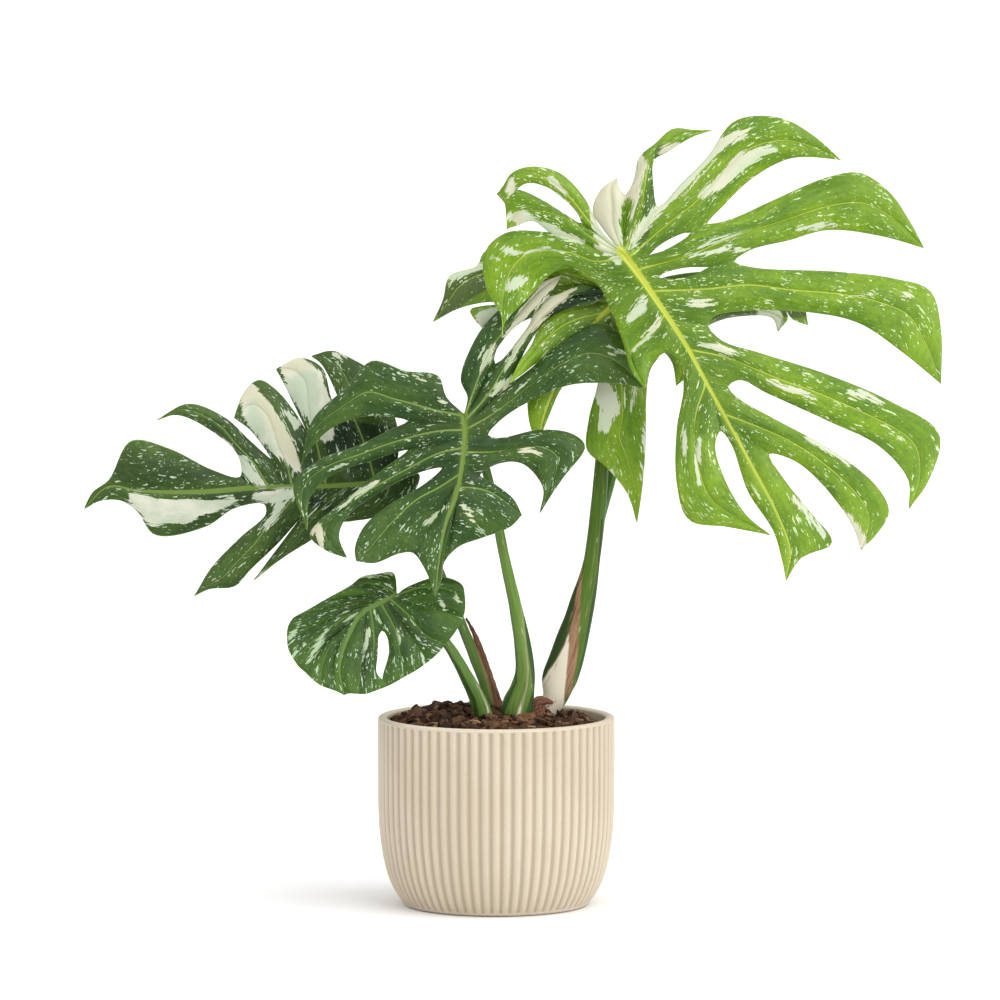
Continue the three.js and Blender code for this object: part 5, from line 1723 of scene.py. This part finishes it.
LEFT_STROKES = {
    Paint.CREAM: [
        [(294, 366, 14), (305, 385, 19), (317, 407, 15), (325, 432, 10)],
        [(249, 392, 9), (255, 410, 14), (272, 432, 15), (288, 452, 10), (297, 468, 4)],
        [(284, 412, 2), (297, 424, 4)],
        [(337, 355, 3), (350, 354, 4), (364, 357, 2.5)],
        [(196, 424, 0.5), (215, 434, 1), (232, 448, 1.5)],
        [(241, 462, 6), (250, 474, 6), (262, 485, 3)],
        [(136, 500, 8), (155, 512, 13), (180, 512, 12), (205, 508, 8), (234, 499, 3)],
        [(256, 497, 3), (275, 497, 7), (292, 494, 6)],
        [(280, 505, 5), (272, 518, 4), (262, 530, 2)],
        [(222, 513, 1.5), (240, 508, 2)],
    ],
    # The first deep green stroke is painted shade, where this blade shows between the middle leaf's lobes.
    Paint.DARK: [
        [(350, 445, 24), (392, 448, 20)],
        [(300, 497, 6), (320, 505, 5), (338, 512, 3)],
    ],
    Paint.BEIGE: [
        [(280, 366, 9), (305, 364, 9)],
        [(240, 396, 9), (258, 388, 9), (270, 414, 9), (296, 458, 8)],
    ],
}

SMALL_STROKES = {
    Paint.CREAM: [
        [(362, 575, 3), (378, 572, 4), (391, 574, 3)],
        [(289, 640, 1.5), (293, 634, 2), (299, 625, 1)],
        [(293, 659, 1), (295, 653, 2), (297, 647, 1)],
        [(308, 663, 1), (315, 650, 2.5), (327, 629, 1.5)],
        [(345, 622, 0.8), (357, 612, 1)],
        [(336, 616, 0.8), (348, 611, 1)],
        [(363, 661, 1), (366, 646, 2), (369, 631, 1)],
        [(374, 611, 1), (379, 622, 2)],
        [(399, 644, 1), (400, 636, 2), (399, 629, 1)],
        [(412, 664, 1), (411, 658, 1.5)],
        [(455, 592, 1), (458, 603, 1.5)],
        [(440, 600, 1), (445, 611, 1.5)],
    ],
}


@dataclass(frozen=True)
class Leaf:
    """A leaf: its shape, its strokes, and its face and underside finishes."""

    shape: LeafShape
    strokes: Strokes
    face: LeafFinish
    under: LeafFinish
    slot: str
    relief: Relief = Relief()
    thickness: float = 0.8

    def build(self) -> bpy.types.Object:
        """Makes the blade, gives it its thickness and both its finishes."""
        name = self.shape.node + "_blade"
        piece = Blade(self.shape, self.relief).build(name, self.strokes)
        mesh = piece.data
        normals = np.empty(len(mesh.polygons) * 3)
        mesh.polygons.foreach_get("normal", normals)
        if normals.reshape(-1, 3)[:, 1].mean() > 0:
            mesh.flip_normals()
        mesh.materials.append(self.face.material(name + "_face"))
        mesh.materials.append(self.under.material(name + "_under"))
        solid = piece.modifiers.new("thickness", "SOLIDIFY")
        solid.thickness = self.thickness * MM
        solid.offset = 0
        solid.material_offset = 1
        return piece


LIME = LeafFinish(
    base=srgb(82, 122, 8), light=srgb(122, 156, 20), deep=srgb(52, 92, 8), vein=srgb(178, 194, 78),
    rib=srgb(190, 198, 66), fleck=srgb(208, 222, 172), edge=srgb(160, 190, 70), cream=srgb(204, 206, 178),
    mint=srgb(192, 204, 172), specks=0.34, streaks=0.07, gloss=0.34, shine=0.33, rib_width=2.5, seed=1.3,
)
LIME_UNDER = LeafFinish(
    base=srgb(100, 120, 52), light=srgb(124, 142, 72), deep=srgb(74, 94, 42), vein=srgb(150, 166, 92),
    rib=srgb(160, 176, 80), edge=srgb(150, 168, 90), specks=0.1, streaks=0.04, gloss=0.5, seed=1.3,
)
TOP_LIME = replace(LIME, deep=srgb(60, 92, 18))
BACK_LIME = replace(LIME, deep=srgb(74, 94, 40), cream=srgb(196, 200, 176), rib_width=1.8)
DEEP = LeafFinish(
    base=srgb(40, 70, 19), light=srgb(70, 98, 34), deep=srgb(24, 44, 16), vein=srgb(126, 150, 74),
    rib=srgb(100, 126, 40), edge=srgb(150, 176, 100), cream=srgb(200, 198, 172), mint=srgb(178, 190, 154),
    specks=0.32, streaks=0.06, shine=0.25, rib_width=2.3, seed=4.1,
)
DEEP_UNDER = LeafFinish(
    base=srgb(78, 94, 54), light=srgb(96, 114, 70), deep=srgb(58, 76, 44), vein=srgb(128, 146, 90),
    rib=srgb(134, 154, 86), edge=srgb(140, 158, 100), specks=0.06, streaks=0.03, gloss=0.5, seed=4.1,
)
MIDDLING = LeafFinish(
    base=srgb(36, 61, 15), light=srgb(66, 92, 29), deep=srgb(22, 42, 16), vein=srgb(112, 138, 66),
    rib=srgb(104, 128, 46), edge=srgb(160, 186, 104), cream=srgb(202, 202, 184), mint=srgb(177, 187, 164),
    specks=0.36, streaks=0.08, shine=0.25, rib_width=1.0, seed=7.7,
)
FRESH = LeafFinish(
    base=srgb(34, 59, 14), light=srgb(68, 103, 21), deep=srgb(22, 42, 11), vein=srgb(100, 128, 60),
    rib=srgb(92, 120, 46), edge=srgb(150, 180, 90), cream=srgb(176, 192, 156), mint=srgb(158, 180, 142),
    specks=0.34, streaks=0.05, shine=0.25, rib_width=0.6, seed=9.4,
)

LEAVES = [
    Leaf(TOP_LEAF, TOP_STROKES, TOP_LIME, LIME_UNDER, "leaf_lime"),
    Leaf(BACK_LEAF, BACK_STROKES, BACK_LIME, LIME_UNDER, "leaf_lime"),
    Leaf(MIDDLE_LEAF, MIDDLE_STROKES, DEEP, DEEP_UNDER, "leaf_deep"),
    Leaf(LEFT_LEAF, LEFT_STROKES, MIDDLING, DEEP_UNDER, "leaf_mid",
         Relief(sink=0.5, pillow=0.8, midrib_sink=0.5)),
    Leaf(SMALL_LEAF, SMALL_STROKES, FRESH, DEEP_UNDER, "leaf_mid", Relief(pillow=0.8, ripple=0.7)),
]

GREEN_STALK = StalkFinish(srgb(62, 96, 28), srgb(96, 130, 52), srgb(38, 66, 22))
FOLD_STALK = StalkFinish(srgb(72, 106, 32), srgb(110, 142, 58), srgb(38, 68, 24))
TALL_STALK = StalkFinish(srgb(58, 88, 16), srgb(86, 118, 28), srgb(36, 60, 18))

TOP_STALK_STROKES = {
    Paint.CREAM: [
        [(569, 630, 0), (567, 645, 2.5), (562, 662, 6), (557, 676, 10), (552, 690, 13), (550, 704, 14),
         (548, 733, 14)],
        [(597, 530, -0.6), (592, 575, -0.4), (586, 615, -0.4), (582, 648, -0.8)],
    ],
    Paint.DARK: [
        [(583, 562, 1), (573, 605, 4), (563, 635, 6), (550, 662, 6), (541, 684, 4)],
        [(602, 520, 1), (599, 570, 1.5), (592, 612, 2), (586, 650, 2), (578, 680, 2)],
    ],
    Paint.BROWN: [
        [(582, 566, 0.6), (578, 600, 2.6), (575, 630, 4.2), (573, 655, 4.4), (571, 672, 4),
         (568, 690, 2.4), (564, 700, 0)],
        [(572, 612, 0), (566, 640, 0.3), (559, 660, 0.4), (548, 680, 0.3), (541, 690, 0)],
        [(556, 701, 0.4), (545, 708, 1.6), (540, 716, 2)],
    ],
}
MIDDLE_STALK_STROKES = {
    Paint.CREAM: [
        [(517, 575, -1), (521, 606, -0.3), (525, 640, 0.1), (528, 668, 0.3), (527, 686, 0.3),
         (523, 700, 0.7), (519, 712, 1.8), (518, 724, 3)],
        [(537, 684, -0.6), (537, 700, -0.2), (532, 718, 0.1)],
    ],
    # Painted shade down the stalk's right edge and at the left of its foot.
    Paint.DARK: [
        [(524, 600, 1.2), (529, 640, 2.6), (534, 670, 3), (536, 690, 3), (532, 706, 4), (527, 720, 3)],
        [(516, 640, 0), (516, 682, 1), (508, 698, 2.2), (502, 712, 2.5)],
    ],
}
LEFT_STALK_STROKES = {
    Paint.DARK: [
        [(456, 622, 1.5), (468, 656, 1.8), (480, 690, 2.0)],
    ],
    Paint.BROWN: [
        [(466, 620, 0.6), (478, 650, 0.8), (488, 684, 1.0), (496, 712, 1.4)],
    ],
}
SMALL_STALK_STROKES = {
    Paint.CREAM: [
        [(470, 668, -0.8), (480, 690, 0), (487, 706, 0.4), (490, 720, 1)],
    ],
    Paint.DARK: [
        [(436, 634, 1), (458, 668, 1.4), (474, 700, 2), (478, 722, 2)],
    ],
}

STALKS = [
    (Stalk("stalk_top", [
        (545, 733, 12, 6, 5), (546, 713, 12, 7, 6), (555, 697, 12, 9, 7), (559, 680, 13, 13, 7.5),
        (566, 660, 13, 12.5, 7), (572, 640, 13, 11.6, 6.5), (578, 620, 13, 10, 6), (583, 600, 13, 9, 5.8),
        (588, 580, 13, 7.2, 5.6), (592, 560, 13, 5.8, 5.4), (598, 510, 14, 5.6, 5.2), (602, 460, 15, 5, 5),
        (607, 400, 17, 4.5, 4.5), (612, 340, 22, 4.2, 4.2), (617, 295, 28, 4, 4), (619, 268, 25, 3.6, 3.6),
    ], Section(flange=1.6, flange_from=0.06, flange_to=0.34), strokes=TOP_STALK_STROKES, rings=340),
        TOP_LEAF, TALL_STALK),
    (Stalk("stalk_back", [
        (548, 733, 29, 4.6, 4.4), (550, 713, 29, 5, 4.6), (557, 697, 29, 5, 4.6), (563, 680, 29, 5, 4.4),
        (569, 660, 28, 4.8, 4.4), (575, 640, 28, 4.6, 4.2), (581, 615, 28, 4.4, 4.2),
        (589, 575, 28, 4.2, 4), (597, 530, 29, 4, 3.8), (604, 503, 31, 3.8, 3.8), (611, 478, 32, 3.7, 3.7),
        (620, 430, 35, 3.6, 3.6), (630, 370, 38, 3.5, 3.5), (637, 320, 36, 3.4, 3.4),
    ]), BACK_LEAF, GREEN_STALK),
    (Stalk("stalk_middle", [
        (520, 740, -8, 9, 7), (517, 718, -8, 11.5, 8), (518, 704, -8, 11.5, 8), (522, 690, -8, 9, 7.4),
        (525, 672, -9, 7, 6.5), (522, 641, -10, 5.9, 5.6), (514, 600, -11, 4.4, 4.4),
        (506, 565, -12, 3.8, 3.8), (496, 515, -12, 3.4, 3.4), (487, 474, -12, 3.3, 3.3),
        (476, 440, -12, 3.2, 3.2),
    ], Section(flange=1.2, flange_from=0.05, flange_to=0.45), strokes=MIDDLE_STALK_STROKES, rings=280),
        MIDDLE_LEAF, FOLD_STALK),
    (Stalk("stalk_left", [
        (493, 733, 14, 4.4, 4.4), (491, 710, 14, 4.6, 4.4), (487, 690, 14, 4, 4.2),
        (476, 660, 14, 4.2, 4), (463, 628, 14, 3.6, 3.6), (445, 585, 14, 3.4, 3.4),
        (425, 538, 19, 3.2, 3.2), (409, 508, 21, 3, 3),
    ], strokes=LEFT_STALK_STROKES), LEFT_LEAF, GREEN_STALK),
    (Stalk("stalk_small", [
        (488, 742, -22, 6, 5), (485, 722, -22, 7, 5.6), (478, 700, -24, 6, 5.2), (465, 674, -28, 4.6, 4.3),
        (450, 648, -32, 3.6, 3.5), (432, 625, -33, 3, 3), (415, 607, -34, 2.7, 2.7),
    ], Section(flange=0.8, flange_from=0.05, flange_to=0.6), strokes=SMALL_STALK_STROKES),
        SMALL_LEAF, GREEN_STALK),
]

HUSKS = [
    Stalk("dry_sheath", [
        (500, 736, 13, 5, 3.6), (499, 716, 13, 5, 3.6), (496, 700, 14, 3.6, 3), (491, 683, 15, 3, 2.6),
        (485, 664, 15, 2.6, 2), (478, 643, 15, 2, 1.6), (472, 629, 15, 1.2, 1.1), (466, 618, 15, 0.5, 0.7),
    ], Section(groove=0.5, wrinkle=0.35)),
    Stalk("dry_bract", [
        (536, 730, -7, 4, 3), (537, 712, -7, 5.6, 3.2), (540, 702, -8, 4.6, 3), (546, 701, -9, 2.6, 2.2),
        (553, 703, -10, 0.8, 0.8),
    ], Section(groove=0.4, wrinkle=0.35)),
]
HUSK = HuskFinish(srgb(86, 50, 34), srgb(176, 124, 96))


# ---------------------------------------------------------------- the stage


FLOOR_HALF = 60.0  # m
SENSOR = 36.0  # mm across the camera's sensor
VIEW_WIDTH = 1000.0  # sight units across the view
FARTHEST = 300.0  # m that the camera sees
SKY_EDGE = 0.2  # the sky's strength at the horizon
SKY_TOP = 1.2  # and from 45 degrees up
LAMPS = (  # name, strength, spread, tilt from straight down and turn about Z, in degrees
    ("key", 2.0, 75, 49, 60),
    ("fill", 0.2, 70, 50, -50),
)


def light_stage() -> None:
    """A pale floor, a sky that is brighter overhead, a wide soft sun from the right and a fill."""
    scene = bpy.context.scene
    corners = np.array([[-1, -1, 0], [1, -1, 0], [1, 1, 0], [-1, 1, 0]]) * FLOOR_HALF
    floor = MeshMaker("floor", corners, np.array([[0, 1, 2, 3]])).object()
    g = Graph("floor")
    floor.data.materials.append(g.finish((0.9, 0.9, 0.9), 1.0, Specular_IOR_Level=0.0))
    floor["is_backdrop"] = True
    world = bpy.data.worlds.new("sky")
    world.use_nodes = True
    tree = world.node_tree
    way = tree.nodes.new("ShaderNodeSeparateXYZ")
    tree.links.new(tree.nodes.new("ShaderNodeTexCoord").outputs["Generated"], way.inputs[0])
    rise = tree.nodes.new("ShaderNodeMapRange")
    for socket, value in {"From Min": 0.0, "From Max": 0.7, "To Min": SKY_EDGE, "To Max": SKY_TOP}.items():
        rise.inputs[socket].default_value = value
    tree.links.new(way.outputs["Z"], rise.inputs["Value"])
    tree.links.new(rise.outputs["Result"], tree.nodes["Background"].inputs["Strength"])
    tree.nodes["Background"].inputs["Color"].default_value = (1.0, 1.0, 1.0, 1)
    scene.world = world
    for name, energy, spread, tilt, turn in LAMPS:
        light = bpy.data.lights.new(name, "SUN")
        light.energy = energy
        light.angle = math.radians(spread)
        lamp = bpy.data.objects.new(name, light)
        lamp.rotation_euler = (math.radians(tilt), 0.0, math.radians(turn))
        scene.collection.objects.link(lamp)
    scene.view_settings.view_transform = "Standard"


def set_camera() -> None:
    """The camera of the front view: far off, a little above, with a long lens."""
    data = bpy.data.cameras.new("view")
    data.lens = SIGHT.focal * SENSOR / VIEW_WIDTH
    data.sensor_width = SENSOR
    data.clip_end = FARTHEST
    camera = bpy.data.objects.new("view", data)
    camera.location = (SIGHT.side * MM, -SIGHT.distance * MM, SIGHT.height * MM)
    camera.rotation_euler = (math.pi / 2 - SIGHT.pitch, 0, 0)
    bpy.context.scene.collection.objects.link(camera)
    bpy.context.scene.camera = camera


def keep(piece: bpy.types.Object, node: str, slot: str, finish: bpy.types.Material | None = None) -> None:
    """Puts a finished piece in its node's place.

    Args:
        piece: The piece.
        node: The solid that it replaces.
        slot: The material slot of the solid; not used.
        finish: Its material, where it doesn't have one yet.
    """
    if finish is not None:
        piece.data.materials.append(finish)
    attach(piece, "root")
    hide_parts(node)
    log.info("%s replaces %s, %d vertices", piece.name, node, len(piece.data.vertices))


def plain(box: object) -> object:
    """Nested lists of floats from whatever shape bounds come in."""
    if isinstance(box, dict):
        return {key: plain(value) for key, value in box.items()}
    if isinstance(box, (int, float)):
        return float(box)
    return [plain(value) for value in box]


def main() -> None:
    """Builds every piece, the stage and the camera."""
    logging.basicConfig(level=logging.INFO, format="%(name)s: %(message)s")
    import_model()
    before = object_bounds()
    for leaf in LEAVES:
        keep(leaf.build(), leaf.shape.node, leaf.slot)
    for stalk, shape, finish in STALKS:
        keep(stalk.build(shape), stalk.node, "stalk", finish.material(stalk.node))
    for husk in HUSKS:
        keep(husk.build(None), husk.node, "dry_husk", HUSK.material(husk.node))
    keep(Pot().build(), "pot", "pot", CeramicFinish().material("ceramic"))
    keep(Soil().build(), "soil", "soil", BarkFinish().material("bark"))
    light_stage()
    set_camera()
    {"before": plain(before), "after": plain(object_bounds())}


if __name__ == "__main__":
    main()
